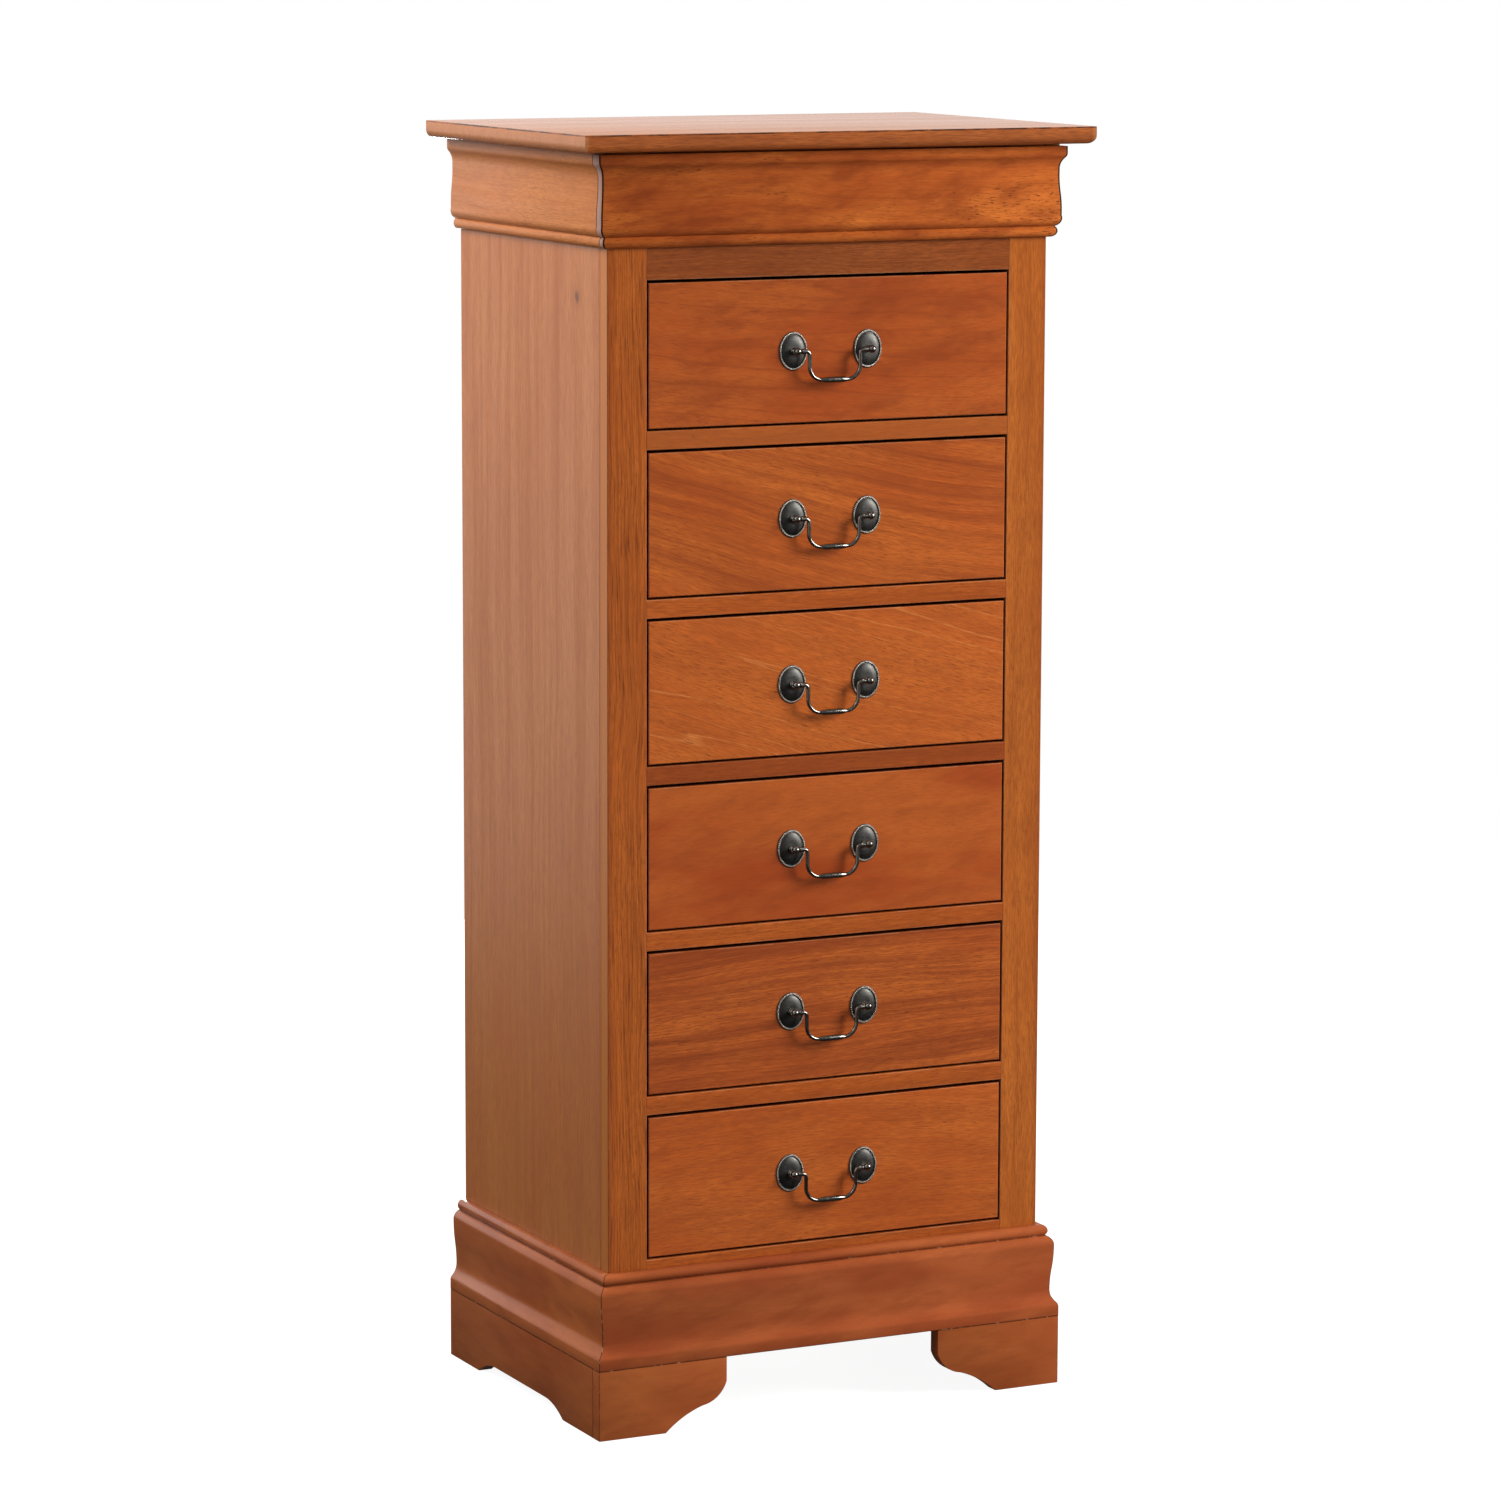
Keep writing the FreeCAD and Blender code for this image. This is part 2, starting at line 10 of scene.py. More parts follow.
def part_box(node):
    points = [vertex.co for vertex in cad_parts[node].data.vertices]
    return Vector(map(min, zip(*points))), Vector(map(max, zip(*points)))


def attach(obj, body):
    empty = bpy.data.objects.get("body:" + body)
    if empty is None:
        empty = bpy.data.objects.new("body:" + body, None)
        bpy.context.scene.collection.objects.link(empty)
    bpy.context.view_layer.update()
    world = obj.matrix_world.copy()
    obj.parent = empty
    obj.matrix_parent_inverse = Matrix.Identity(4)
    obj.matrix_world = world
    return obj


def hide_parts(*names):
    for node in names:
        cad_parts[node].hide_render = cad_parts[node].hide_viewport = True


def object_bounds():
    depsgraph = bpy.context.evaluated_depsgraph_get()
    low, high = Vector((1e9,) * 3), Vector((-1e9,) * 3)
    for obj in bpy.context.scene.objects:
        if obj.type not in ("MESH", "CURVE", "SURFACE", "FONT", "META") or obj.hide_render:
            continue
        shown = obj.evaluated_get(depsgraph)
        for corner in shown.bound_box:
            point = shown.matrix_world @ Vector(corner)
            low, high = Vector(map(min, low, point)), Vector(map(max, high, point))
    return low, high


# A tall narrow chest of drawers in warm reddish wood with antiqued bail pulls. Lengths are in
# metres, in the frame of the construction: the drawers face -Y and the feet stand on Z = 0.

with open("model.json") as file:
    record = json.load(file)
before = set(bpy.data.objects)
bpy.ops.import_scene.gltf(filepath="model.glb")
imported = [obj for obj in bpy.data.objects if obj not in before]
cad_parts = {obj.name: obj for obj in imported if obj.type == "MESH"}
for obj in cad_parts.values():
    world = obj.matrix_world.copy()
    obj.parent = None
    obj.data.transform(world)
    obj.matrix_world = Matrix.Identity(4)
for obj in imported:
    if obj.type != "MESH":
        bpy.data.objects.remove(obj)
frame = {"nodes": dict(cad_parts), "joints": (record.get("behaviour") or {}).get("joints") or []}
cad_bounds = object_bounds()

MM = 0.001
ACROSS = Vector((1, 0, 0))
INWARD = Vector((0, 1, 0))
UP = Vector((0, 0, 1))
DRAWERS = range(1, 7)

# Places taken from the construction
half_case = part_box("side_panel_right")[1].x
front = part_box("stile_right")[0].y
stile_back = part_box("stile_right")[1].y
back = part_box("back_panel")[1].y
case_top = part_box("top_board")[0].z
foot_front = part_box("front_foot_right")[0].y
half_plinth, foot_back, foot_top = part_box("front_foot_right")[1]
post_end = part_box("drawer_1_pull")[1].y
bail_pivots = {joint["child"]: Vector(joint["pos_m"])
               for joint in frame["joints"] if "bail" in joint["child"]}


def in_mm(*points):
    """Points that are given in millimetres."""
    return [tuple(measure * MM for measure in point) for point in points]


# Distances that count as nothing, and angles that count as flat, as sharp and as an edge in shading
NEAR = 0.1 * MM
CLOSE = 0.01 * MM
TOUCHING = 0.001 * MM
FLAT_ANGLE = math.radians(0.5)
SHARP_ANGLE = math.radians(35)
SHADED_ANGLE = math.radians(32)

# Ogee mouldings, out from the case and along from the flange to the bead
MOULDING_STEPS = 8
FLANGE_HEIGHT = 12.6 * MM
COVE_HEIGHT = 13.8 * MM
COVE_BOW = 1.2 * MM
SWELL_BOW = 0.4 * MM
SHOULDER_HEIGHT = 11.0 * MM
SHOULDER_BOW = 2.4 * MM
BEAD_HEIGHT = 10.8 * MM
BEAD_TUCK = 5.2 * MM
BEAD_BOW = 4.6 * MM
MOULDING_ARRIS = 0.5 * MM
# The eased edge where the flange turns into the cove
FLANGE_EASE = 2.7 * MM
EASE_IN = 2.0 * MM
EASE_PAST = 1.8 * MM
EASE_BOW = 0.5 * MM
Ogee = namedtuple("Ogee", "height flange neck belly quirk")
BASE = Ogee(95.0 * MM, 18.2 * MM, 11.3 * MM, 14.4 * MM, 7.4 * MM)
CROWN = Ogee(93.6 * MM, 15.2 * MM, 9.4 * MM, 11.2 * MM, 6.2 * MM)

# Top board
TOP_EDGE_ROUND = 8.0 * MM
TOP_EDGE_STEPS = 8
TOP_ARRIS = 0.8 * MM

# Feet and plinth
FOOT_SOLE = 73.5 * MM
FOOT_EDGE = 24.9 * MM
LOBE_WIDTH = 27.2 * MM
LOBE_HEIGHT = 23.8 * MM
LOBE_BOW = 5.2 * MM
HOLLOW_BOW = 2.6 * MM
ARCH_RISE = 13.3 * MM
ARCH_EASE = 44.0 * MM
ARCH_BOW = 3.4 * MM
FOOT_ARRIS = 0.8 * MM

# Bail pulls: each has two oval rosettes, two posts with a pierced ball, and a bail between them
PULL_SPREAD = 82.5 * MM
PIVOT_STANDOFF = 10.5 * MM

# Rosettes, with a rim given in from the edge and out from the drawer front
ROSETTE_WIDTH = 31.0 * MM
ROSETTE_HEIGHT = 38.5 * MM
ROSETTE_TALLNESS = ROSETTE_HEIGHT / ROSETTE_WIDTH
ROSETTE_STEPS = 64
ROSETTE_RIM = in_mm((0, 0.6), (0.3, 0.9), (0.9, 1.1), (1.8, 1.0), (2.2, 0.5), (2.6, 0.6), (3.1, 1.1))
FIELD_RISE = 2.7 * MM
FIELD_BOW = 0.45 * MM
SEAT_RADIUS = 5.2 * MM
SHANK_ROOM = 0.2 * MM
ROPE_MIDDLE = 14.35 * MM
ROPE_RISE = 1.15 * MM
ROPE_STRANDS = 56
ROPE_LEAN = math.radians(38)
STRAND_LENGTH = 2.5 * MM
STRAND_WIDTH = 1.3 * MM
STRAND_SIDES = 8
STRAND_RINGS = 5

# Posts, with a foot given out from the axis and out from the drawer front
POST_STEPS = 28
POST_SHANK = 2.0 * MM
POST_TAIL = 5.0 * MM
TAIL_EASE = 0.4 * MM
POST_FOOT = in_mm((3.2, 2.6), (3.5, 2.9), (3.5, 3.4), (3.2, 3.8))
POST_NECK = 2.2 * MM
NECK_START = 6.6 * MM
NECK_HOLLOW = 0.5 * MM
NECK_SHORT = 0.5 * MM
BALL_RADIUS = 4.0 * MM
EYE_RADIUS = 1.9 * MM
EYE_EASE = 0.2 * MM

# Bails. A turning has lengths along the bail and the radius at the end of each
PIN_RADIUS = 1.6 * MM
PIN_END = 43.25 * MM
COLLAR_END = 36.75 * MM
WIRE_RADIUS = 2.0 * MM
WIRE_SIDES = 16
NECK_BEND = 4.0 * MM
NECK_STEPS = 8
LEG_LENGTH = 10.8 * MM
BAIL_BEND = 14.0 * MM
BAIL_STEPS = 12
COLLAR_TURNING = in_mm((0.02, 2.4), (0.5, 2.9), (3.18, 2.9), (0.5, 2.5)) + [(0.5 * MM, WIRE_RADIUS)]
GRIP_SWELL = in_mm((1.5, 2.35), (2.0, 2.8), (2.5, 3.0))

# Nuts and washers on the tails of the posts
NUT_SIDES = 6
NUT_RADIUS = 4.0 * MM
NUT_HEIGHT = 2.6 * MM
NUT_BITE = 0.05 * MM
NUT_EASE_IN = 0.5 * MM
NUT_EASE_DOWN = 0.4 * MM
WASHER_RADIUS = 5.0 * MM
WASHER_HEIGHT = 0.8 * MM
WASHER_ROOM = 0.1 * MM

# Screws inside the hidden drawer
FRIEZE_BOX_FRONT = 12.0 * MM
SCREW_SPREAD = 140.0 * MM
SCREW_LEVEL = 18.0 * MM
SCREW_RADIUS = 4.0 * MM
SCREW_RISE = 2.2 * MM
SCREW_BOW = 0.5 * MM
SCREW_SINK = 0.5 * MM
SCREW_SOCKET = 1.3 * MM


# Meshes

def arc(start, end, bow, steps):
    """Points after start along an arc that stands bow to the left of its chord."""
    start, end = Vector(start), Vector(end)
    chord = end - start
    left = Vector((-chord.y, chord.x)).normalized() * math.copysign(1, bow)
    swing = 2 * math.atan(2 * abs(bow) / chord.length)
    radius = chord.length / 2 / math.sin(swing)
    points = []
    for k in range(1, steps + 1):
        turn = swing * (2 * k / steps - 1)
        points.append((start + end) / 2 + chord.normalized() * radius * math.sin(turn)
                      + left * radius * (math.cos(turn) - math.cos(swing)))
    return points


def outline(start, *steps):
    """Points round an outline whose steps are (u, v), or (u, v, bow) for an arc."""
    points = [Vector(start)]
    for step in steps:
        if len(step) == 3:
            points += arc(points[-1], step[:2], step[2], MOULDING_STEPS)
        else:
            points.append(Vector(step))
    return points


def ogee_face(ogee, start=0.0):
    """Points (out, along) of a moulding's face, from its flange to the end of its bead."""
    cove_end = FLANGE_HEIGHT + COVE_HEIGHT
    bead_start = ogee.height - BEAD_HEIGHT
    belly_at = bead_start - SHOULDER_HEIGHT
    return outline((ogee.flange, start), (ogee.flange, FLANGE_HEIGHT - FLANGE_EASE),
                   (ogee.flange - EASE_IN, FLANGE_HEIGHT + EASE_PAST, -EASE_BOW),
                   (ogee.neck, cove_end, COVE_BOW),
                   ((ogee.neck + ogee.belly) / 2, (cove_end + belly_at) / 2, SWELL_BOW),
                   (ogee.belly, belly_at, -SWELL_BOW), (ogee.quirk, bead_start, -SHOULDER_BOW),
                   (ogee.quirk - BEAD_TUCK, ogee.height, -BEAD_BOW))


def ogee_section(ogee):
    """Points (out, along) round a whole moulding, with its back flat on the case."""
    return [Vector((0, 0)), *ogee_face(ogee), Vector((0, ogee.height))]


def verts_of(parts):
    return [part for part in parts if isinstance(part, bmesh.types.BMVert)]


def edges_of(parts):
    return [part for part in parts if isinstance(part, bmesh.types.BMEdge)]


def prism(corners, run):
    """A solid with the outline of its corners, drawn out along run."""
    bm = bmesh.new()
    face = bm.faces.new([bm.verts.new(corner) for corner in corners])
    grown = bmesh.ops.extrude_face_region(bm, geom=[face])
    bmesh.ops.translate(bm, verts=verts_of(grown["geom"]), vec=run)
    return bm


def drawn(bm, rim, step, grow=1.0):
    """Draws an open rim on by a step, and makes it wider or narrower."""
    grown = bmesh.ops.extrude_edge_only(bm, edges=rim)["geom"]
    verts = verts_of(grown)
    bmesh.ops.translate(bm, verts=verts, vec=step)
    middle = sum((vert.co for vert in verts), Vector()) / len(verts)
    bmesh.ops.scale(bm, verts=verts, vec=(grow, grow, grow), space=Matrix.Translation(-middle))
    return edges_of(grown)


def trim(bm, point, normal):
    """Cuts off what lies beyond a plane and closes the cut."""
    parts = bm.verts[:] + bm.edges[:] + bm.faces[:]
    cut = bmesh.ops.bisect_plane(bm, geom=parts, plane_co=point, plane_no=normal, clear_outer=True)
    bmesh.ops.contextual_create(bm, geom=edges_of(cut["geom_cut"]))


def soften(bm, width, chosen=None, segments=2):
    """Rounds the sharp edges, or those that the chosen test accepts."""
    bmesh.ops.remove_doubles(bm, verts=bm.verts, dist=CLOSE)
    bmesh.ops.recalc_face_normals(bm, faces=bm.faces)
    sharp = [edge for edge in bm.edges if edge.is_manifold and edge.calc_face_angle() > SHARP_ANGLE]
    if chosen:
        sharp = [edge for edge in sharp if chosen((edge.verts[0].co + edge.verts[1].co) / 2)]
    bmesh.ops.bevel(bm, geom=sharp, offset=width, offset_type="OFFSET", segments=segments, profile=0.5,
                    affect="EDGES", material=-1, clamp_overlap=True)


def moved_copy(bm, step):
    copy = bm.copy()
    bmesh.ops.translate(copy, verts=copy.verts, vec=step)
    return copy


def finish_piece(name, bm, body, material, slot, *nodes):
    """Closes a mesh, hangs it on its body and hides the nodes that it replaces."""
    bmesh.ops.remove_doubles(bm, verts=bm.verts, dist=TOUCHING)
    bmesh.ops.recalc_face_normals(bm, faces=bm.faces)
    mesh = bpy.data.meshes.new(name)
    bm.to_mesh(mesh)
    bm.free()
    mesh.shade_smooth()
    mesh.set_sharp_from_angle(angle=SHADED_ANGLE)
    for finish in material if isinstance(material, tuple) else (material,):
        mesh.materials.append(finish)
    piece = bpy.data.objects.new(name, mesh)
    bpy.context.scene.collection.objects.link(piece)
    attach(piece, body)
    if nodes:
        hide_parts(*nodes)
    return piece


# Materials

def srgb(red, green, blue):
    """A colour as seen on a screen, from 0 to 255, in the linear values of a shader."""
    levels = [level / 255 for level in (red, green, blue)]
    return tuple(v / 12.92 if v <= 0.04045 else ((v + 0.055) / 1.055) ** 2.4 for v in levels) + (1.0,)


WHITE = (1, 1, 1, 1)

# A fade: the two levels between which something changes, and its share at each
Fade = namedtuple("Fade", "low high start end", defaults=(0.0, 1.0))

# A layer of noise: how often it repeats in a metre each way, its detail and roughness, and the two levels
# between which it comes in
Layer = namedtuple("Layer", "scale detail roughness low high", defaults=(2.0, 0.5, 0.0, 1.0))


class Nodes:
    """Short calls for the nodes of a material or a world."""

    def __init__(self, tree):
        self.tree = tree

    def node(self, kind, inputs=None, **settings):
        node = self.tree.nodes.new("ShaderNode" + kind)
        for name, value in settings.items():
            setattr(node, name, value)
        for key, value in (inputs or {}).items():
            self.put(node.inputs[key], value)
        return node

    def put(self, socket, value):
        """Gives a socket a value, or links it to another node's output."""
        if isinstance(value, bpy.types.NodeSocket):
            self.tree.links.new(value, socket)
        else:
            socket.default_value = value

    def math(self, operation, first, second=0.0, third=0.0):
        return self.node("Math", {0: first, 1: second, 2: third}, operation=operation).outputs[0]

    def rise(self, value, low, high, start=0.0, end=1.0):
        """Turns a value between low and high into one between start and end, with soft ends."""
        return self.node("MapRange", {0: value, 1: low, 2: high, 3: start, 4: end},
                         interpolation_type="SMOOTHSTEP").outputs[0]


class Finish(Nodes):
    """A material in the making."""

    def __init__(self, name):
        self.material = bpy.data.materials.new(name)
        self.material.use_nodes = True
        super().__init__(self.material.node_tree)
        self.shader = self.tree.nodes["Principled BSDF"]
        self.place = self.node("TexCoord").outputs["Object"]

    def surface(self, **values):
        for name, value in values.items():
            self.put(self.shader.inputs[name.replace("_", " ")], value)

    def along(self, axis):
        """Where a point lies on the X, Y or Z axis."""
        return self.node("SeparateXYZ", {0: self.place}).outputs[axis]

    def past(self, axis, mark):
        """How far a point lies past a mark on an axis."""
        return self.math("SUBTRACT", self.along(axis), mark)

    def from_middle(self):
        """How far a point lies to the left or right of the chest's middle."""
        return self.math("ABSOLUTE", self.along("X"))

    def moved(self, vector, location=(0, 0, 0), rotation=(0, 0, 0), scale=(1, 1, 1)):
        return self.node("Mapping", {"Vector": vector, "Location": location, "Rotation": rotation,
                                     "Scale": scale}).outputs["Vector"]

    def vector(self, operation, first, second):
        return self.node("VectorMath", {0: first, 1: second}, operation=operation).outputs[0]

    def length(self, vector):
        return self.node("VectorMath", {0: vector}, operation="LENGTH").outputs["Value"]

    def noise(self, vector, layer):
        return self.node("TexNoise", {"Vector": self.moved(vector, scale=layer.scale), "Scale": 1.0,
                                      "Detail": layer.detail, "Roughness": layer.roughness}).outputs["Fac"]

    def shown(self, noise, layer, share=1.0):
        """A share of a layer, where its noise is high enough for it to come in."""
        return self.rise(noise, layer.low, layer.high, 0.0, share)

    def contour(self, noise, level, width, share):
        """A share along the lines where a noise is at a level."""
        away = self.math("ABSOLUTE", self.math("SUBTRACT", noise, level))
        return self.rise(away, 0.0, width, share, 0.0)

    def blend(self, share, first, second):
        node = self.node("Mix", data_type="RGBA")
        for socket, value in ((node.inputs[0], share), (node.inputs[6], first), (node.inputs[7], second)):
            self.put(socket, value)
        return node.outputs[2]

    def bump(self, height, strength, distance):
        self.surface(Normal=self.node("Bump", {"Height": height, "Strength": strength,
                                               "Distance": distance}).outputs["Normal"])


# A board's lie: the way its grain runs, then the way its width runs
FRONT_LIE = (ACROSS, UP)
UPRIGHT_LIE = (UP, ACROSS)
SIDE_LIE = (UP, INWARD)
TOP_LIE = (ACROSS, INWARD)
DEPTH_LIE = (INWARD, UP)

# A figure: how the grain slopes and bows along the board, and the strength of its bands, of its thin dark
# and pale lines, long pores, clouds of redder wood, short flecks, mottle, fibres and fine streaks
Figure = namedtuple("Figure",
                    "slope bow bands dark_lines pale_lines pores clouds flecks mottle fibres streaks",
                    defaults=(0.0, 0.0, 0.0, 0.0, 0.0, 0.0, 0.5, 0.3, 0.25, 0.6, 0.0))
STRAIGHT = Figure(bands=0.35, dark_lines=0.2, pores=0.15)
STREAKED = Figure(bands=0.4, dark_lines=0.1, pores=0.6, clouds=0.5, flecks=0.3, streaks=0.75)
RAIL_FIGURE = Figure(bands=0.4, dark_lines=0.15, pores=0.2, flecks=0.3, streaks=0.3)
QUIET = Figure(bands=0.4, dark_lines=0.15, pale_lines=0.1, clouds=0.45, flecks=0.1, mottle=0.1, streaks=0.1)
PORED = Figure(slope=0.02, bands=0.3, dark_lines=0.1, pores=0.15, clouds=1.0, flecks=0.7, mottle=0.65,
               fibres=0.35, streaks=0.15)
BLOTCHED = Figure(bands=0.12, clouds=1.0, flecks=0.08, mottle=0.35, fibres=0.15)

# The layers of a figure, each along the grain, across it and into the board
DRIFT = Layer((3, 9, 9))
CLOUDS = Layer((5, 14, 14), 3.0, 0.55, 0.36, 0.66)
MOTTLE = Layer((18, 60, 60), 3.0, 0.6, 0.42, 0.7)
BANDS = Layer((2.0, 75, 75), 3.0, 0.6, 0.36, 0.72)
LINES = Layer((1.6, 48, 8), 0.0)
FIBRES = Layer((75, 850, 850), 2.0, 0.6, 0.3, 0.75)
STREAKS = Layer((7, 620, 620), 2.0, 0.6, 0.4, 0.7)
PORES = Layer((20, 640, 640), 2.0, 0.55, 0.54, 0.70)
FLECKS = Layer((130, 1200, 1200), 1.0, 0.5, 0.58, 0.74)
RUBBING = Layer((45, 45, 45), 3.0, 0.6, 0.38, 0.58)

# How far the grain wanders, the lean of the mottle, the level and width of the thin lines, and how the
# flecks thin out in the clouds
DRIFT_REACH = 0.03
MOTTLE_LEAN = math.radians(-9)
DARK_LINES = (0.45, 0.035)
PALE_LINES = (0.53, 0.016)
FLECKS_BY_CLOUD = Fade(0.6, 0.4, 0.3, 1.6)
# How far apart the boards lie in the noise
SEED_STEP = (1.7, 0.9, 0.4)
# The least that an edge is rubbed, and the part of its width that is rubbed through
LEAST_RUBBED = 0.25
RUBBED_CORE = 0.6
# The levels of noise that turn a surface glossier or duller, and how far they do
GLOSS_LEVELS = (0.3, 0.7)
GLOSSIER = 0.04
DULLER = 0.05
FIBRE_RELIEF = 0.4
RELIEF_STRENGTH = 0.1
RELIEF_DEPTH = 0.1 * MM

# A kind of wood: its tones, the tone of its edges and how far they show, and its gloss
Wood = namedtuple("Wood", "light ember dark pore pale edge edge_share roughness specular edge_width",
                  defaults=(1.1 * MM,))


def toned(kind, light, ember, dark, **others):
    """A kind of wood like another one, in tones of its own."""
    return kind._replace(light=srgb(*light), ember=srgb(*ember), dark=srgb(*dark), **others)


LACQUERED = Wood(srgb(194, 101, 42), srgb(173, 77, 32), srgb(127, 56, 25), srgb(80, 33, 15),
                 srgb(210, 126, 64), srgb(216, 164, 122), 0.24, 0.34, 0.25)
GOLDEN = toned(LACQUERED, (193, 108, 43), (181, 93, 34), (129, 63, 24))
RUDDY = toned(LACQUERED, (195, 101, 40), (179, 83, 31), (131, 59, 22))
HONEY = toned(LACQUERED, (191, 102, 41), (177, 86, 33), (137, 68, 24))
UMBER = toned(LACQUERED, (156, 84, 39), (140, 68, 30), (99, 45, 20))
TAWNY = toned(LACQUERED, (184, 113, 56), (172, 95, 46), (142, 76, 36), roughness=0.36, specular=0.5)
AMBER = toned(LACQUERED, (199, 105, 43), (181, 84, 33), (138, 63, 27))
RUSSET = toned(LACQUERED, (181, 91, 38), (161, 69, 28), (116, 49, 22))
MOULDED = toned(LACQUERED, (200, 110, 46), (170, 82, 34), (127, 56, 25), roughness=0.5, specular=0.1,
                edge_share=0.0)
MOULDED_BASE = toned(MOULDED, (170, 89, 47), (151, 71, 37), (125, 58, 29), roughness=0.42, specular=0.16)
MOULDED_FOOT = toned(MOULDED_BASE, (178, 98, 50), (159, 80, 40), (132, 64, 31))
MOULDED_BASE_SIDE = MOULDED_FOOT._replace(roughness=0.32, specular=0.35)
MOULDED_SIDE = toned(TAWNY, (195, 123, 64), (183, 105, 54), (152, 85, 43), roughness=0.45, edge_share=0.0)
GLAZED_TOP = toned(UMBER, (180, 98, 43), (158, 80, 33), (99, 45, 20), edge=srgb(56, 24, 12), edge_share=0.95,
                   edge_width=2.0 * MM, roughness=0.28, specular=0.53)
PLAIN = Wood(srgb(214, 178, 130), srgb(200, 158, 112), srgb(180, 138, 92), srgb(150, 108, 66),
             srgb(226, 196, 152), srgb(226, 196, 152), 0.3, 0.6, 0.3)
SHEET = Wood(srgb(200, 150, 100), srgb(182, 128, 82), srgb(164, 112, 70), srgb(126, 82, 48),
             srgb(212, 168, 120), srgb(212, 168, 120), 0.0, 0.65, 0.3)


def edge_line(finish, centred, half, pitch, width):
    """One along the edges of a board, where two of its faces meet, broken here and there."""
    left = []
    for axis, at in enumerate(finish.node("SeparateXYZ", {0: centred}).outputs):
        if axis == 1 and pitch:
            at = finish.math("WRAP", at, pitch / 2, -pitch / 2)
        left.append(finish.math("SUBTRACT", half[axis], finish.math("ABSOLUTE", at)))
    near = finish.math("MINIMUM", left[0], left[1])
    far = finish.math("MAXIMUM", left[0], left[1])
    second = finish.math("MAXIMUM", near, finish.math("MINIMUM", far, left[2]))
    rubbed = finish.rise(finish.noise(centred, RUBBING), RUBBING.low, RUBBING.high, LEAST_RUBBED, 1.0)
    return finish.math("MULTIPLY", finish.rise(second, width * RUBBED_CORE, width, 1.0, 0.0), rubbed)


def wood(name, lie, board, seed, figure=STRAIGHT, kind=LACQUERED, pitch=0.0, marks=None):
    """Wood whose grain runs along the lie of a board, given by the board's two far corners.

    Boards that repeat at a pitch share one finish, and marks adds what only this board has.
    """
    finish = Finish(name)
    low, high = board
    turn = Matrix((lie[0], lie[1], lie[0].cross(lie[1])))
    half = [abs(length) / 2 for length in turn @ (high - low)]
    if pitch:
        half[1] %= pitch / 2
    away = Vector([seed * step for step in SEED_STEP])
    centred = finish.moved(finish.place, location=-(turn @ (low + high)) / 2, rotation=turn.to_euler())

    # The grain wanders a little, and slopes and bows along the board
    drift = finish.noise(finish.moved(centred, location=away), DRIFT)
    along = finish.node("SeparateXYZ", {0: centred}).outputs[0]
    lean = finish.math("MULTIPLY", along, finish.math("MULTIPLY_ADD", along, figure.bow, figure.slope))
    shift = finish.math("MULTIPLY_ADD", drift, DRIFT_REACH, lean)
    grain = finish.vector("ADD", centred, finish.node("CombineXYZ", {1: shift}).outputs[0])
    grain = finish.moved(grain, location=away)

    clouds = finish.noise(grain, CLOUDS)
    mottle = finish.noise(finish.moved(grain, rotation=(0, 0, MOTTLE_LEAN)), MOTTLE)
    bands = finish.noise(grain, BANDS)
    lines = finish.noise(grain, LINES)
    fibres = finish.noise(grain, FIBRES)
    pores = finish.noise(grain, PORES)
    flecks = finish.math("MULTIPLY", finish.shown(finish.noise(grain, FLECKS), FLECKS),
                         finish.rise(clouds, *FLECKS_BY_CLOUD))

    colour = finish.blend(finish.shown(clouds, CLOUDS, figure.clouds), kind.light, kind.ember)
    colour = finish.blend(finish.shown(mottle, MOTTLE, figure.mottle), colour, kind.dark)
    colour = finish.blend(finish.shown(bands, BANDS, figure.bands), colour, kind.dark)
    colour = finish.blend(finish.contour(lines, *DARK_LINES, figure.dark_lines), colour, kind.dark)
    colour = finish.blend(finish.contour(lines, *PALE_LINES, figure.pale_lines), colour, kind.pale)
    colour = finish.blend(finish.shown(fibres, FIBRES, figure.fibres), colour, kind.dark)
    if figure.streaks:
        streaks = finish.noise(grain, STREAKS)
        colour = finish.blend(finish.shown(streaks, STREAKS, figure.streaks), colour, kind.dark)
    colour = finish.blend(finish.shown(pores, PORES, figure.pores), colour, kind.pore)
    colour = finish.blend(finish.math("MULTIPLY", flecks, figure.flecks), colour, kind.pore)
    if kind.edge_share:
        edges = edge_line(finish, centred, half, pitch, kind.edge_width)
        colour = finish.blend(finish.math("MULTIPLY", edges, kind.edge_share), colour, kind.edge)
    if marks:
        colour = marks(finish, colour)
    gloss = finish.rise(bands, *GLOSS_LEVELS, kind.roughness - GLOSSIER, kind.roughness + DULLER)
    finish.surface(Base_Color=colour, Roughness=gloss, Specular_IOR_Level=kind.specular)
    relief = finish.math("SUBTRACT", finish.math("MULTIPLY", fibres, FIBRE_RELIEF), flecks)
    finish.bump(relief, RELIEF_STRENGTH, RELIEF_DEPTH)
    return finish.material


# A small knot in the left side panel: a dark heart with an uneven outline, and a faint ring round it
KNOT_PLACE = Vector((-243.0, -91.7, 1132.8)) * MM
KNOT_SIZE = Vector((9.0, 6.4, 8.0)) * MM
KNOT_DARK = srgb(92, 48, 30)
KNOT_OUTLINE = Layer((160, 160, 120))
KNOT_UNEVEN = 0.7
KNOT_RING = Fade(0.8, 2.4, 0.35, 0.0)
KNOT_HEART = Fade(0.35, 1.1, 0.8, 0.0)


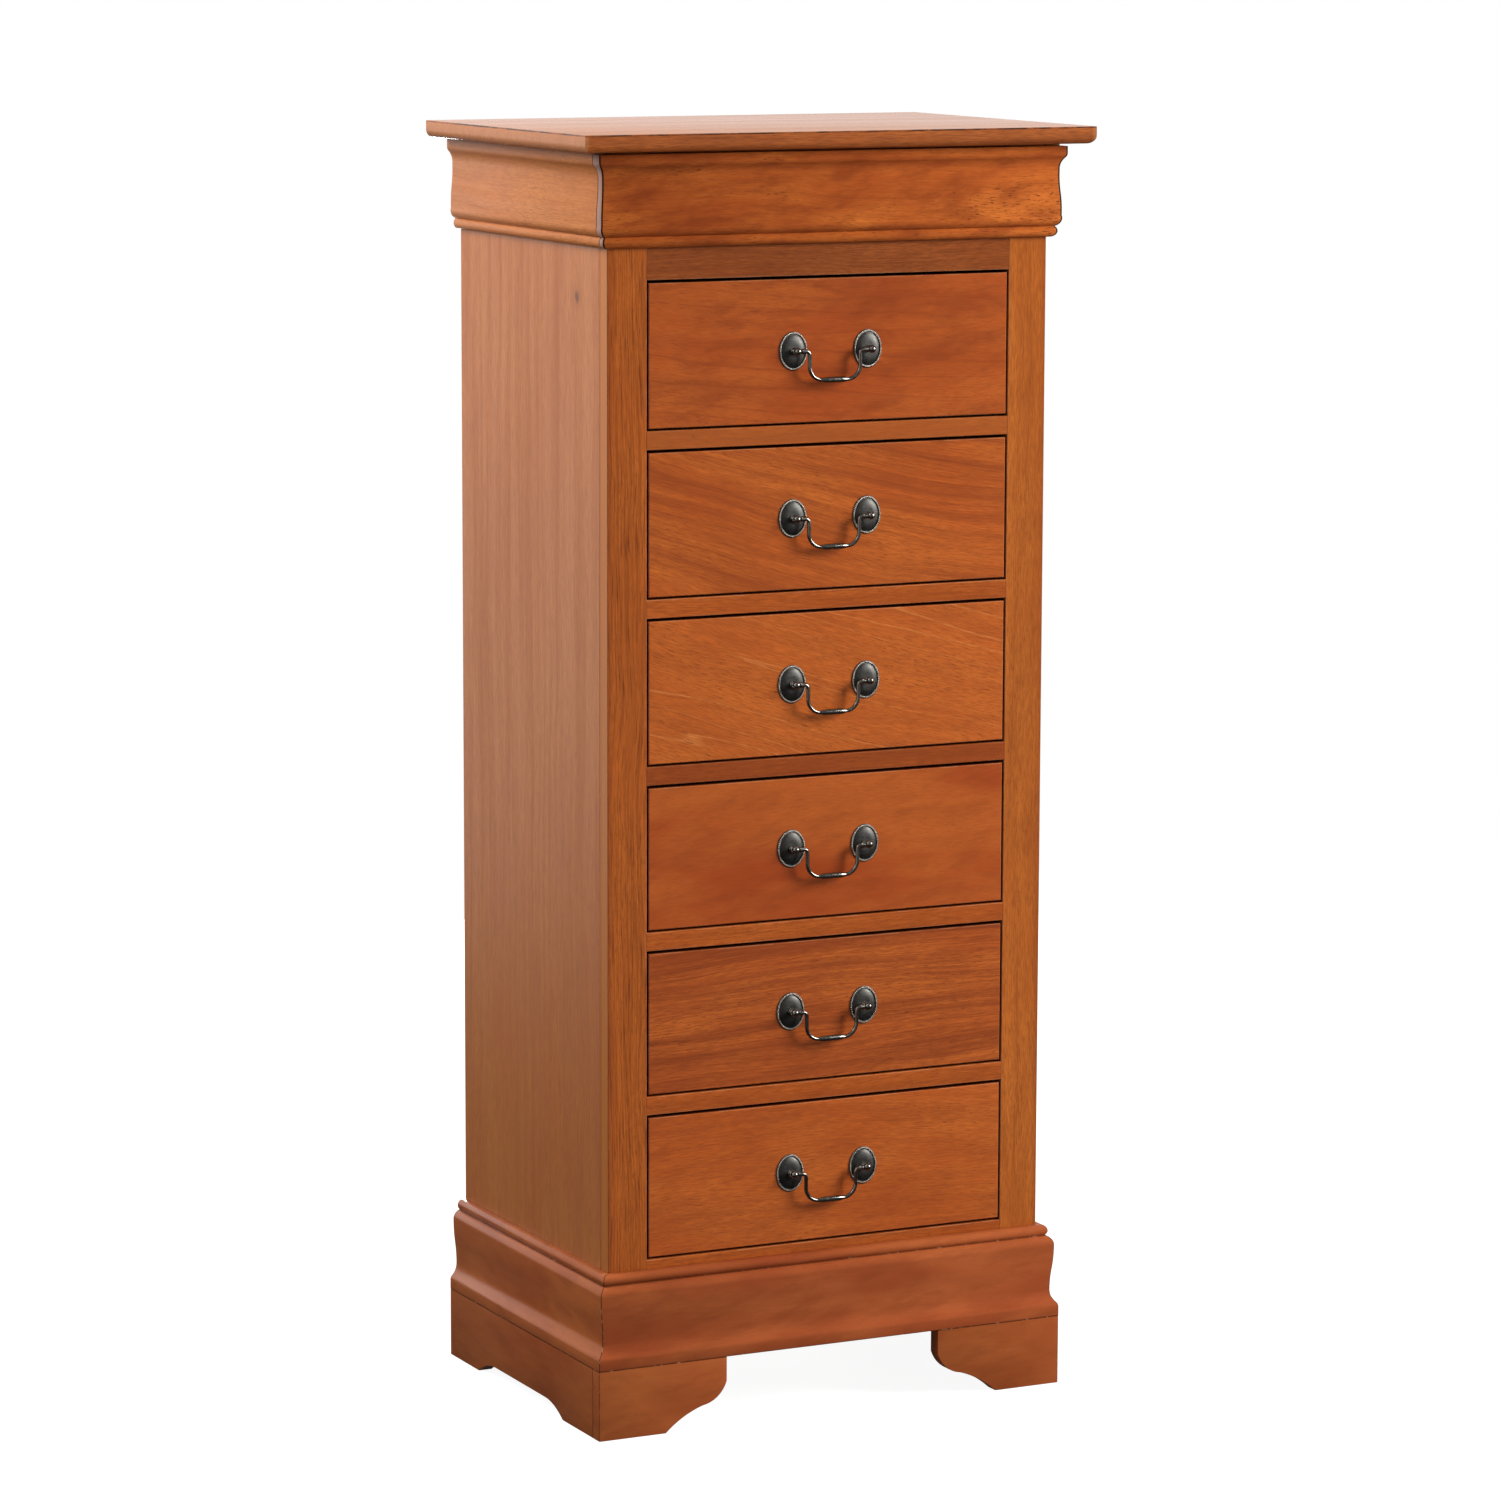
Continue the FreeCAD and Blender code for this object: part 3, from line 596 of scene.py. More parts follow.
def knot(finish, colour):
    offset = finish.vector("SUBTRACT", finish.place, tuple(KNOT_PLACE))
    reach = finish.length(finish.vector("DIVIDE", offset, tuple(KNOT_SIZE)))
    reach = finish.math("MULTIPLY_ADD", finish.noise(finish.place, KNOT_OUTLINE), KNOT_UNEVEN,
                        finish.math("SUBTRACT", reach, KNOT_UNEVEN / 2))
    colour = finish.blend(finish.rise(reach, *KNOT_RING), colour, TAWNY.dark)
    return finish.blend(finish.rise(reach, *KNOT_HEART), colour, KNOT_DARK)


# The ends of the frieze board, painted pale grey, and the dark line along their front edges. Both are
# measured from the front corner of the moulding
END_GREY = srgb(150, 116, 104)
END_LINE = srgb(40, 18, 10)
END_GREY_REACH = Fade(-0.7 * MM, -0.2 * MM, 1.0, 0.0)
END_LINE_REACH = Fade(1.2 * MM, 2.0 * MM, 1.0, 0.0)


def frieze_ends(finish, colour):
    out = finish.math("SUBTRACT", finish.from_middle(), half_case)
    ahead = finish.math("SUBTRACT", front, finish.along("Y"))
    inset = finish.math("SUBTRACT", ahead, out)
    colour = finish.blend(finish.rise(inset, *END_LINE_REACH), colour, END_LINE)
    return finish.blend(finish.rise(inset, *END_GREY_REACH), colour, END_GREY)


# Dark lines where parts meet, with pale specks where the finish is worn through. The same dark also paints
# shade in the quirk under the base's bead and in the gaps round the drawer fronts
DARK_SEAM_AND_SHADE = srgb(58, 24, 12)
SEAM_WORN = srgb(226, 184, 148)
LINE_MARK_WIDTH = 0.9 * MM
WORN_SPECKS = Layer((190, 190, 190), 2.0, 0.5, 0.6, 0.68)


def seam(finish, colour, distance, share, worn=0.0):
    """Draws a line where a distance is next to nothing, with a share of worn specks."""
    line = finish.rise(finish.math("ABSOLUTE", distance), LINE_MARK_WIDTH / 2, LINE_MARK_WIDTH, share, 0.0)
    colour = finish.blend(line, colour, DARK_SEAM_AND_SHADE)
    if not worn:
        return colour
    specks = finish.shown(finish.noise(finish.place, WORN_SPECKS), WORN_SPECKS, worn)
    return finish.blend(finish.math("MULTIPLY", line, specks), colour, SEAM_WORN)


# A stile darkens towards its outer edge, and a fainter line runs beside its joint to the side panel
STILE_EDGE = srgb(118, 48, 22)
STILE_SHADE = Fade(0.0, 9.0 * MM, 0.4, 0.0)
STILE_ARRIS = Fade(0.2 * MM, 0.6 * MM, 0.75, 0.0)
SECOND_LINE = 3.0 * MM


def stile_edges(finish, colour):
    """The dark outer edge of a stile, its worn arris and its joint to the side panel."""
    inset = finish.math("SUBTRACT", half_case, finish.from_middle())
    colour = finish.blend(finish.rise(inset, *STILE_SHADE), colour, STILE_EDGE)
    colour = finish.blend(finish.rise(inset, *STILE_ARRIS), colour, TAWNY.light)
    colour = seam(finish, colour, finish.past("Y", stile_back), share=0.85)
    colour = seam(finish, colour, finish.past("Y", stile_back - SECOND_LINE), share=0.35)
    return seam(finish, colour, finish.math("MAXIMUM", inset, finish.past("Y", front)), share=0.45)


def base_seams(finish, colour):
    """Dark lines at the mitres and the joint to the feet, and painted shade in the quirk under the bead."""
    out = finish.math("SUBTRACT", finish.from_middle(), half_case)
    ahead = finish.math("SUBTRACT", front, finish.along("Y"))
    bead_start = foot_top + BASE.height - BEAD_HEIGHT
    colour = seam(finish, colour, finish.math("SUBTRACT", out, ahead), share=0.8, worn=0.6)
    # A dark line in the quirk under the bead: painted shade
    colour = seam(finish, colour, finish.past("Z", bead_start), share=0.6, worn=0.25)
    return seam(finish, colour, finish.past("Z", foot_top), share=0.7, worn=0.4)


def foot_seams(finish, colour):
    """The front corners of the feet, their joints to the plinth boards and the joint to the moulding."""
    inset = finish.math("SUBTRACT", half_plinth, finish.from_middle())
    corner = finish.math("MAXIMUM", inset, finish.past("Y", foot_front))
    colour = seam(finish, colour, corner, share=0.6, worn=0.3)
    colour = seam(finish, colour, finish.past("Y", foot_back), share=0.6)
    return seam(finish, colour, finish.past("Z", foot_top), share=0.7, worn=0.4)


# Brads that hold the back panel in its rabbets and along the back rail
BRAD_INSET = 4.0 * MM
BRAD_DROP = 16.0 * MM
BRAD_PITCH = 120.0 * MM
BRAD_RADIUS = 1.7 * MM
BRAD_HEAD = Fade(BRAD_RADIUS * 0.8, BRAD_RADIUS, 0.85, 0.0)
BRAD_STEEL = srgb(92, 86, 78)


def brad_heads(finish, colour):
    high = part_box("back_panel")[1]
    edge = finish.math("SUBTRACT", finish.from_middle(), high.x - BRAD_INSET)
    along = finish.math("WRAP", finish.along("Z"), BRAD_PITCH / 2, -BRAD_PITCH / 2)
    across = finish.math("WRAP", finish.along("X"), BRAD_PITCH / 2, -BRAD_PITCH / 2)
    rail = finish.past("Z", high.z - BRAD_DROP)
    for aside, level in ((edge, along), (across, rail)):
        reach = finish.length(finish.node("CombineXYZ", {0: aside, 1: level}).outputs[0])
        colour = finish.blend(finish.rise(reach, *BRAD_HEAD), colour, BRAD_STEEL)
    return colour


# A metal: its dark tone and its worn tone, its roughness and how far it is worn
Metal = namedtuple("Metal", "dark bright roughness wear")
PLATE_METAL = Metal((0.066, 0.063, 0.058, 1), (0.125, 0.119, 0.107, 1), 0.4, 0.4)
POST_METAL = Metal((0.17, 0.158, 0.14, 1), (0.34, 0.318, 0.284, 1), 0.14, 0.4)
RIM_METAL = Metal((0.48, 0.44, 0.39, 1), (0.82, 0.77, 0.7, 1), 0.42, 0.9)
ZINC_METAL = Metal((0.5, 0.49, 0.46, 1), (0.62, 0.6, 0.56, 1), 0.4, 0.5)
PATINA = Layer((420, 420, 420), 3.0, 0.6, 0.45, 0.8)
PATINA_DULLER = 0.12
PATINA_STRENGTH = 0.08


def antique_metal(name, metal):
    """Dark antiqued metal that is bright where it is worn."""
    finish = Finish(name)
    patina = finish.noise(finish.place, PATINA)
    worn = finish.shown(patina, PATINA, metal.wear)
    gloss = finish.rise(patina, *GLOSS_LEVELS, metal.roughness, metal.roughness + PATINA_DULLER)
    finish.surface(Base_Color=finish.blend(worn, metal.dark, metal.bright), Metallic=1.0, Roughness=gloss)
    finish.bump(patina, PATINA_STRENGTH, RELIEF_DEPTH)
    return finish.material


# Boards that keep their construction shape

def dress(node, material):
    """Gives a piece of the construction its finish."""
    for holder in frame["nodes"][node].material_slots:
        holder.material = material


def dress_board(node, lie, seed, *look, **extras):
    """Gives a board of the construction a wood of its own."""
    dress(node, wood(node, lie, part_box(node), seed, *look, **extras))


STILE_LOOKS = {"left": (STREAKED, HONEY), "right": (STRAIGHT, GOLDEN)}

# The first rail is browner than the others and the third one redder
RAIL_PITCH = 165.9 * MM
RAIL_REACH = Fade(0.3 * RAIL_PITCH, 0.4 * RAIL_PITCH, 0.5, 0.0)
RAIL_TONES = ((1, UMBER.light), (3, RUSSET.dark))


def rail_tones(finish, colour):
    for number, tone in RAIL_TONES:
        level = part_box("divider_rails")[1].z - (number - 1) * RAIL_PITCH
        away = finish.math("ABSOLUTE", finish.past("Z", level))
        colour = finish.blend(finish.rise(away, *RAIL_REACH), colour, tone)
    return colour


def dress_case():
    for seed, side in enumerate(("left", "right"), start=1):
        dress_board("side_panel_" + side, SIDE_LIE, seed, QUIET, TAWNY, marks=knot)
        dress_board("stile_" + side, UPRIGHT_LIE, seed + 4, *STILE_LOOKS[side], marks=stile_edges)
    dress_board("top_rail", FRONT_LIE, 11, RAIL_FIGURE, UMBER)
    dress_board("bottom_rail", FRONT_LIE, 12, RAIL_FIGURE, RUDDY)
    dress_board("divider_rails", FRONT_LIE, 13, RAIL_FIGURE, RUDDY, pitch=RAIL_PITCH, marks=rail_tones)
    dress_board("top_stretcher", FRONT_LIE, 14, kind=UMBER)
    runner_wood = wood("runner_wood", DEPTH_LIE, cad_bounds, 31, kind=PLAIN)
    for node in ("drawer_runners_left", "drawer_runners_right", "drawer_stops", "top_cleats"):
        dress(node, runner_wood)
    block_wood = wood("block_wood", UPRIGHT_LIE, cad_bounds, 32, kind=PLAIN)
    for node in ("corner_blocks", "rear_foot_braces"):
        dress(node, block_wood)
    dress("back_rail", wood("back_rail_wood", FRONT_LIE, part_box("back_rail"), 33, kind=PLAIN))
    dress("bottom_panel", wood("bottom_panel_sheet", TOP_LIE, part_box("bottom_panel"), 34, kind=SHEET))
    dress("back_panel", wood("back_panel_sheet", UPRIGHT_LIE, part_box("back_panel"), 35, kind=SHEET,
                             marks=brad_heads))


# Drawer fronts, from the top one down
DRAWER_LOOKS = {
    1: (Figure(slope=0.06, bow=-0.25, bands=0.25, dark_lines=0.25, clouds=0.7, flecks=0.25, mottle=0.4,
               fibres=0.3), RUSSET),
    2: (Figure(slope=0.24, bow=-0.3, bands=0.65, dark_lines=0.45, pores=0.25, clouds=0.7, flecks=0.25,
               streaks=0.25), AMBER),
    3: (Figure(slope=0.3, bow=-0.12, bands=0.25, pale_lines=0.8, clouds=0.4, flecks=0.35, streaks=0.15),
        AMBER),
    4: (Figure(slope=-0.05, bow=0.1, bands=0.12, clouds=1.0, flecks=0.12, fibres=0.25), RUSSET),
    5: (Figure(slope=-0.02, bands=0.9, dark_lines=0.2, pores=0.2, streaks=0.45), LACQUERED),
    6: (Figure(slope=0.02, bow=0.1, bands=0.35, dark_lines=0.2, pores=0.1, clouds=0.7, mottle=0.35,
               streaks=0.2), AMBER),
}
DRAWER_SEED = 40
# Painted shade on a front's ends, top and bottom, in the gaps round the drawer: by how near they are and by
# how far behind the face
GAP_SHADE_EDGE = Fade(-0.5 * MM, -0.2 * MM)
GAP_SHADE_BEHIND = Fade(0.3 * MM, 1.2 * MM, 0.0, 0.75)


def drawer_edges(board):
    """Marks for a drawer front, whose edges are painted dark behind the arris: a painted shade in the gaps
    round it.
    """
    low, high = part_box(board)
    middle = (low + high) / 2

    def stained(finish, colour):
        across = finish.math("SUBTRACT", finish.from_middle(), high.x)
        level = finish.math("ABSOLUTE", finish.past("Z", middle.z))
        beyond = finish.math("MAXIMUM", across, finish.math("SUBTRACT", level, high.z - middle.z))
        edge = finish.rise(beyond, *GAP_SHADE_EDGE)
        behind = finish.rise(finish.past("Y", front), *GAP_SHADE_BEHIND)
        # The ends, top and bottom behind the arris are painted dark: painted shade in the gaps round the
        # drawer
        return finish.blend(finish.math("MULTIPLY", edge, behind), colour, DARK_SEAM_AND_SHADE)

    return stained


def dress_drawers():
    box_wood = wood("drawer_box_wood", DEPTH_LIE, cad_bounds, 36, kind=PLAIN)
    sheet = wood("drawer_bottom_sheet", TOP_LIE, cad_bounds, 37, kind=SHEET)
    for number in DRAWERS:
        drawer = "drawer_" + str(number)
        board = drawer + "_front"
        dress_board(board, FRONT_LIE, DRAWER_SEED + number, *DRAWER_LOOKS[number], marks=drawer_edges(board))
        dress(drawer + "_box", box_wood)
        dress(drawer + "_bottom", sheet)
    dress("frieze_drawer_box", box_wood)
    dress("frieze_drawer_bottom", sheet)


# Top board, mouldings, feet and plinth

def finish_board(node, bm, lie, seed, *look, **extras):
    """Finishes a board of the case, with a wood of its own, in place of its node."""
    material = wood(node + "_wood", lie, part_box(node), seed, *look, **extras)
    finish_piece(node + "_piece", bm, "case", material, "case_wood", node)


# The top board's face is painted paler, a painted sheen, and its ends are painted paler and greyer. All is
# measured from its far top corner
TOP_PAINTED_SHEEN = srgb(206, 160, 112)
TOP_END_TONE = srgb(176, 116, 70)
FACE_DEPTH = Fade(-0.5 * MM, -0.1 * MM, 0.0, 0.2)
END_REACH = Fade(-5.0 * MM, -2.0 * MM, 0.0, 0.55)
BELOW_ARRIS = Fade(-2.0 * MM, -1.2 * MM, 1.0, 0.0)


def bleached(finish, colour):
    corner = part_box("top_board")[1]
    end = finish.rise(finish.math("SUBTRACT", finish.from_middle(), corner.x), *END_REACH)
    below = finish.rise(finish.past("Z", corner.z), *BELOW_ARRIS)
    colour = finish.blend(finish.math("MULTIPLY", end, below), colour, TOP_END_TONE)
    # The face of the top is painted paler: a painted sheen
    return finish.blend(finish.rise(finish.past("Z", corner.z), *FACE_DEPTH), colour, TOP_PAINTED_SHEEN)


def make_top_board():
    low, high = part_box("top_board")
    bm = bmesh.new()
    bmesh.ops.create_cube(bm, size=1.0, matrix=Matrix.LocRotScale((low + high) / 2, None, high - low))
    soften(bm, TOP_EDGE_ROUND, lambda at: at.z < low.z + MM and at.y < high.y - MM, TOP_EDGE_STEPS)
    soften(bm, TOP_ARRIS, lambda at: at.z > high.z - MM)
    finish_board("top_board", bm, TOP_LIE, 21, QUIET, GLAZED_TOP, marks=bleached)


def make_side_crown(side, name):
    low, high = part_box(name)
    corners = [(side * (half_case + out), low.y, case_top - along) for out, along in ogee_section(CROWN)]
    bm = prism(corners, INWARD * (high.y - low.y))
    soften(bm, MOULDING_ARRIS)
    finish_board(name, bm, DEPTH_LIE, 51 + side, kind=MOULDED_SIDE)


def make_base_side(side, name):
    corner = front - BASE.flange
    corners = [(side * (half_case + out), corner, foot_top + along) for out, along in ogee_section(BASE)]
    bm = prism(corners, INWARD * (back - corner))
    trim(bm, (side * half_case, front, 0), (-side, -1, 0))
    soften(bm, MOULDING_ARRIS)
    finish_board(name, bm, DEPTH_LIE, 55 + side, BLOTCHED, MOULDED_BASE_SIDE, marks=base_seams)


def make_base_front():
    reach = half_case + BASE.flange
    corners = [(-reach, front - out, foot_top + along) for out, along in ogee_section(BASE)]
    bm = prism(corners, ACROSS * 2 * reach)
    for side in (-1, 1):
        trim(bm, (side * half_case, front, 0), (side, 1, 0))
    soften(bm, MOULDING_ARRIS)
    finish_board("base_moulding_front", bm, FRONT_LIE, 58, BLOTCHED, MOULDED_BASE, marks=base_seams)


def make_frieze_front():
    """The ogee board of the hidden drawer, drawn down level by level so that its ends are moulded too."""
    low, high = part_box("frieze_drawer_front")
    levels = ogee_face(CROWN, case_top - high.z)
    reach = half_case + CROWN.flange
    corners = ((-reach, high.y), (reach, high.y), (reach, low.y), (-reach, low.y))
    bm = bmesh.new()
    rim = bm.faces.new([bm.verts.new((x, y, high.z)) for x, y in corners]).edges[:]
    for out, along in levels[1:]:
        rim = drawn(bm, rim, Vector())
        for vert in {vert for edge in rim for vert in edge.verts}:
            y = high.y if vert.co.y > high.y - NEAR else front - out
            vert.co = (math.copysign(half_case + out, vert.co.x), y, case_top - along)
    bmesh.ops.contextual_create(bm, geom=rim)
    bmesh.ops.dissolve_limit(bm, angle_limit=FLAT_ANGLE, verts=bm.verts, edges=bm.edges)
    soften(bm, MOULDING_ARRIS)
    material = wood("frieze_wood", FRONT_LIE, (low, high), 61, PORED, MOULDED, marks=frieze_ends)
    finish_piece("frieze_drawer_front_piece", bm, "frieze_drawer", material, "front_wood",
                 "frieze_drawer_front")


def make_front_foot(side, name):
    low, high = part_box(name)
    inner = low.x if side > 0 else -high.x
    shape = outline((half_plinth, 0), (half_plinth - FOOT_SOLE, 0),
                    (inner + LOBE_WIDTH, LOBE_HEIGHT, -HOLLOW_BOW),
                    (inner, foot_top - FOOT_EDGE, LOBE_BOW), (inner, foot_top), (half_plinth, foot_top))
    bm = prism([(side * x, low.y, z) for x, z in shape], INWARD * (high.y - low.y))
    soften(bm, FOOT_ARRIS, lambda at: at.z < foot_top - MM)
    finish_board(name, bm, FRONT_LIE, 65 + side, BLOTCHED, MOULDED_FOOT, marks=foot_seams)


def make_plinth_side(side, name):
    low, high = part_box(name)
    arch_front = foot_back + FOOT_SOLE
    arch_rear = back - FOOT_SOLE
    shape = outline((foot_back, 0), (arch_front, 0), (arch_front + ARCH_EASE, ARCH_RISE, ARCH_BOW),
                    (arch_rear - ARCH_EASE, ARCH_RISE), (arch_rear, 0, ARCH_BOW), (back, 0),
                    (back, foot_top), (foot_back, foot_top))
    bm = prism([(low.x, y, z) for y, z in shape], ACROSS * (high.x - low.x))
    soften(bm, FOOT_ARRIS, lambda at: at.z < foot_top - MM)
    seed = 68 if side > 0 else 69
    finish_board(name, bm, DEPTH_LIE, seed, BLOTCHED, MOULDED_BASE_SIDE, marks=foot_seams)


def make_mouldings():
    make_frieze_front()
    make_base_front()
    for side, hand in ((-1, "left"), (1, "right")):
        make_side_crown(side, "crown_moulding_" + hand)
        make_base_side(side, "base_moulding_" + hand)
        make_front_foot(side, "front_foot_" + hand)
        make_plinth_side(side, "plinth_side_" + hand)


# Pulls

def spun(bm, profile, steps, axis, closed=False):
    """Turns a profile of (distance from the axis, place along it) into a round shape about the origin."""
    side = UP if axis == ACROSS else ACROSS
    verts = [bm.verts.new(side * radius + axis * along) for radius, along in profile]
    edges = [bm.edges.new(pair) for pair in zip(verts, verts[1:])]
    if closed:
        edges.append(bm.edges.new((verts[-1], verts[0])))
    bmesh.ops.spin(bm, geom=verts + edges, cent=(0, 0, 0), axis=axis, angle=math.tau, steps=steps,
                   use_merge=True)


def placed(bm, count_before, *moves):
    """Moves what was added to a mesh since it had a number of vertices."""
    bm.verts.ensure_lookup_table()
    fresh = bm.verts[count_before:]
    for move in moves:
        bmesh.ops.transform(bm, matrix=move, verts=fresh)


def add_rosette(bm, place):
    """An oval plate: a square edge, a seat for the rope, a groove and a field domed up to the post."""
    half = ROSETTE_WIDTH / 2
    bore = POST_SHANK + SHANK_ROOM
    rim = [(half - inward, -rise) for inward, rise in ROSETTE_RIM]
    profile = outline((bore, 0), (half, 0), *rim, (SEAT_RADIUS, -FIELD_RISE, FIELD_BOW),
                      (bore, -FIELD_RISE))
    count = len(bm.verts)
    spun(bm, profile, ROSETTE_STEPS, INWARD, closed=True)
    bmesh.ops.remove_doubles(bm, verts=bm.verts[count:], dist=TOUCHING)
    placed(bm, count, Matrix.Diagonal((1, 1, ROSETTE_TALLNESS, 1)), Matrix.Translation(place))


def add_rope(bm, place):
    """A ring of slanting strands along the rim of a rosette."""
    size = Matrix.Diagonal((STRAND_LENGTH / 2, STRAND_WIDTH / 2, STRAND_WIDTH / 2, 1))
    for k in range(ROPE_STRANDS):
        turn = math.tau * k / ROPE_STRANDS
        slant = math.atan2(math.cos(turn) * ROSETTE_TALLNESS, -math.sin(turn)) + ROPE_LEAN
        at = Vector((math.cos(turn), 0, math.sin(turn) * ROSETTE_TALLNESS)) * ROPE_MIDDLE - INWARD * ROPE_RISE
        stand = Matrix.Translation(place + at) @ Matrix.Rotation(-slant, 4, "Y") @ size
        bmesh.ops.create_uvsphere(bm, u_segments=STRAND_SIDES, v_segments=STRAND_RINGS, radius=1.0,
                                  matrix=stand)


def add_post(bm, place):
    """A turned post: threaded tail, foot and hollow neck, with a ball that the bail's pin goes through."""
    plate_faces = len(bm.faces)
    tail = post_end - front
    neck_end = PIVOT_STANDOFF - EYE_RADIUS - NECK_SHORT
    foot = [(radius, -rise) for radius, rise in POST_FOOT]
    profile = outline((0, tail), (POST_SHANK - TAIL_EASE, tail), (POST_SHANK, tail - TAIL_EASE),
                      (POST_SHANK, foot[0][1]), *foot, (POST_NECK, -NECK_START, NECK_HOLLOW),
                      (POST_NECK, -neck_end), (0, -neck_end))
    count = len(bm.verts)
    spun(bm, profile, POST_STEPS, INWARD)
    placed(bm, count, Matrix.Translation(place))

    mouth = EYE_RADIUS + EYE_EASE
    reach = math.sqrt(BALL_RADIUS ** 2 - mouth ** 2)
    bow = -BALL_RADIUS * (1 - math.sin(math.asin(mouth / BALL_RADIUS) / 2 + math.pi / 4))
    bead = outline((EYE_RADIUS, EYE_EASE - reach), (mouth, -reach), (BALL_RADIUS, 0, bow),
                   (mouth, reach, bow), (EYE_RADIUS, reach - EYE_EASE))
    count = len(bm.verts)
    spun(bm, bead, POST_STEPS, ACROSS, closed=True)
    placed(bm, count, Matrix.Translation(place - INWARD * PIVOT_STANDOFF))
    bm.faces.ensure_lookup_table()
    for face in bm.faces[plate_faces:]:
        face.material_index = 1


def bent(bm, rim, centre, turn, steps):
    """Sweeps the end of a rod round a bend."""
    swept = bmesh.ops.spin(bm, geom=rim, cent=centre, axis=INWARD, angle=turn, steps=steps)
    return edges_of(swept["geom_last"])


def turned(bm, rim, radius, turning):
    """Draws the end of a rod, of a radius, on through a turning."""
    for step, wider in turning:
        rim = drawn(bm, rim, -ACROSS * step, wider / radius)
        radius = wider
    return rim


def turning_length(turning):
    return sum(step for step, radius in turning)


def swan_necked_bail():
    """A bail about its pivot, drawn out from one pin to the middle of the grip and then mirrored."""
    bm = bmesh.new()
    facing = Matrix.Translation((PIN_END, 0, 0)) @ Matrix.Rotation(math.pi / 2, 4, "Y")
    bmesh.ops.create_circle(bm, cap_ends=True, segments=WIRE_SIDES, radius=PIN_RADIUS, matrix=facing)
    rim = drawn(bm, bm.edges[:], -ACROSS * (PIN_END - COLLAR_END))
    rim = turned(bm, rim, PIN_RADIUS, COLLAR_TURNING)
    collar_start = COLLAR_END - turning_length(COLLAR_TURNING)
    rim = bent(bm, rim, (collar_start, 0, -NECK_BEND), -math.pi / 2, NECK_STEPS)
    rim = drawn(bm, rim, -UP * LEG_LENGTH)
    grip_end = collar_start - NECK_BEND - BAIL_BEND
    rim = bent(bm, rim, (grip_end, 0, -NECK_BEND - LEG_LENGTH), math.pi / 2, BAIL_STEPS)
    rim = turned(bm, rim, WIRE_RADIUS, GRIP_SWELL)
    drawn(bm, rim, -ACROSS * (grip_end - turning_length(GRIP_SWELL)))
    bmesh.ops.mirror(bm, geom=bm.verts[:] + bm.edges[:] + bm.faces[:], axis="X", merge_dist=CLOSE)
    return bm


def add_nut(bm, place):
    """A washer and a nut on the tail of a post, against the inside of the drawer front."""
    count = len(bm.verts)
    bore = POST_SHANK + WASHER_ROOM
    spun(bm, [(bore, 0), (WASHER_RADIUS, 0), (WASHER_RADIUS, WASHER_HEIGHT), (bore, WASHER_HEIGHT)],
         POST_STEPS, INWARD, closed=True)
    thread = POST_SHANK - NUT_BITE
    top = WASHER_HEIGHT + NUT_HEIGHT
    spun(bm, [(thread, WASHER_HEIGHT), (NUT_RADIUS, WASHER_HEIGHT), (NUT_RADIUS, top - NUT_EASE_DOWN),
              (NUT_RADIUS - NUT_EASE_IN, top), (thread, top)], NUT_SIDES, INWARD, closed=True)
    placed(bm, count, Matrix.Translation(place))


def make_frieze_screws(zinc):
    """Round-headed screws that hold the frieze board to the front of the hidden drawer."""
    low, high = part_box("frieze_drawer_box")
    head = outline((0, SCREW_SOCKET), (SCREW_SOCKET, SCREW_SOCKET), (SCREW_SOCKET, SCREW_RISE),
                   (SCREW_RADIUS, 0, -SCREW_BOW), (0, -SCREW_SINK))
    bm = bmesh.new()
    for x in (-SCREW_SPREAD, SCREW_SPREAD):
        for level in (low.z + SCREW_LEVEL, high.z - SCREW_LEVEL):
            count = len(bm.verts)
            spun(bm, head, POST_STEPS, INWARD)
            placed(bm, count, Matrix.Translation((x, low.y + FRIEZE_BOX_FRONT, level)))
    return finish_piece("frieze_drawer_screws", bm, "frieze_drawer", zinc, "pull_metal")


def make_pulls():
    """Makes the parts of one pull, copies them to every drawer and returns all the metal pieces."""
    plate = antique_metal("antiqued_plate_metal", PLATE_METAL)
    bright = antique_metal("antiqued_post_metal", POST_METAL)
    rubbed = antique_metal("rubbed_rim_metal", RIM_METAL)
    zinc = antique_metal("zinc_fastener_metal", ZINC_METAL)
    pieces = [make_frieze_screws(zinc)]
    plates = bmesh.new()
    ropes = bmesh.new()
    nuts = bmesh.new()
    for side in (-1, 1):
        place = Vector((side * PULL_SPREAD / 2, front, 0))
        add_rosette(plates, place)
        add_post(plates, place)
        add_rope(ropes, place)
        add_nut(nuts, Vector((place.x, post_end - POST_TAIL, 0)))
    bail = swan_necked_bail()
    for number in DRAWERS:
        drawer = "drawer_" + str(number)
        swing = "bail_" + str(number)
        pivot = bail_pivots[swing]
        level = UP * pivot.z
        for name, shape, step, body, finish, *nodes in (
                ("_pull_piece", plates, level, drawer, (plate, bright), drawer + "_pull"),
                ("_pull_ropes", ropes, level, drawer, rubbed),
                ("_pull_nuts", nuts, level, drawer, zinc),
                ("_bail_piece", bail, pivot, swing, bright, drawer + "_bail")):
            copy = moved_copy(shape, step)
            pieces.append(finish_piece(drawer + name, copy, body, finish, "pull_metal", *nodes))
    for shape in (plates, ropes, nuts, bail):
        shape.free()
    return pieces


# Stage, lights and camera

# The studio's light, the way out to the front and right of the chest, and how the room that way and the
# foot of the backdrop dim in gloss
AMBIENT = 0.24
ROOM_WAY = (0.45, -0.89, 0.0)
ROOM_DIM = Fade(-0.1, 0.6, 1.0, 0.06)
SWEEP_DIM = Fade(-0.3, -0.08, 0.0, 1.0)

FLOOR_SIZE = 5.0
FLOOR_GLOW = 0.93
FLOOR_GLOSS = 0.05
FLOOR_GREY = 0.24
FLOOR_ROUGHNESS = 0.9

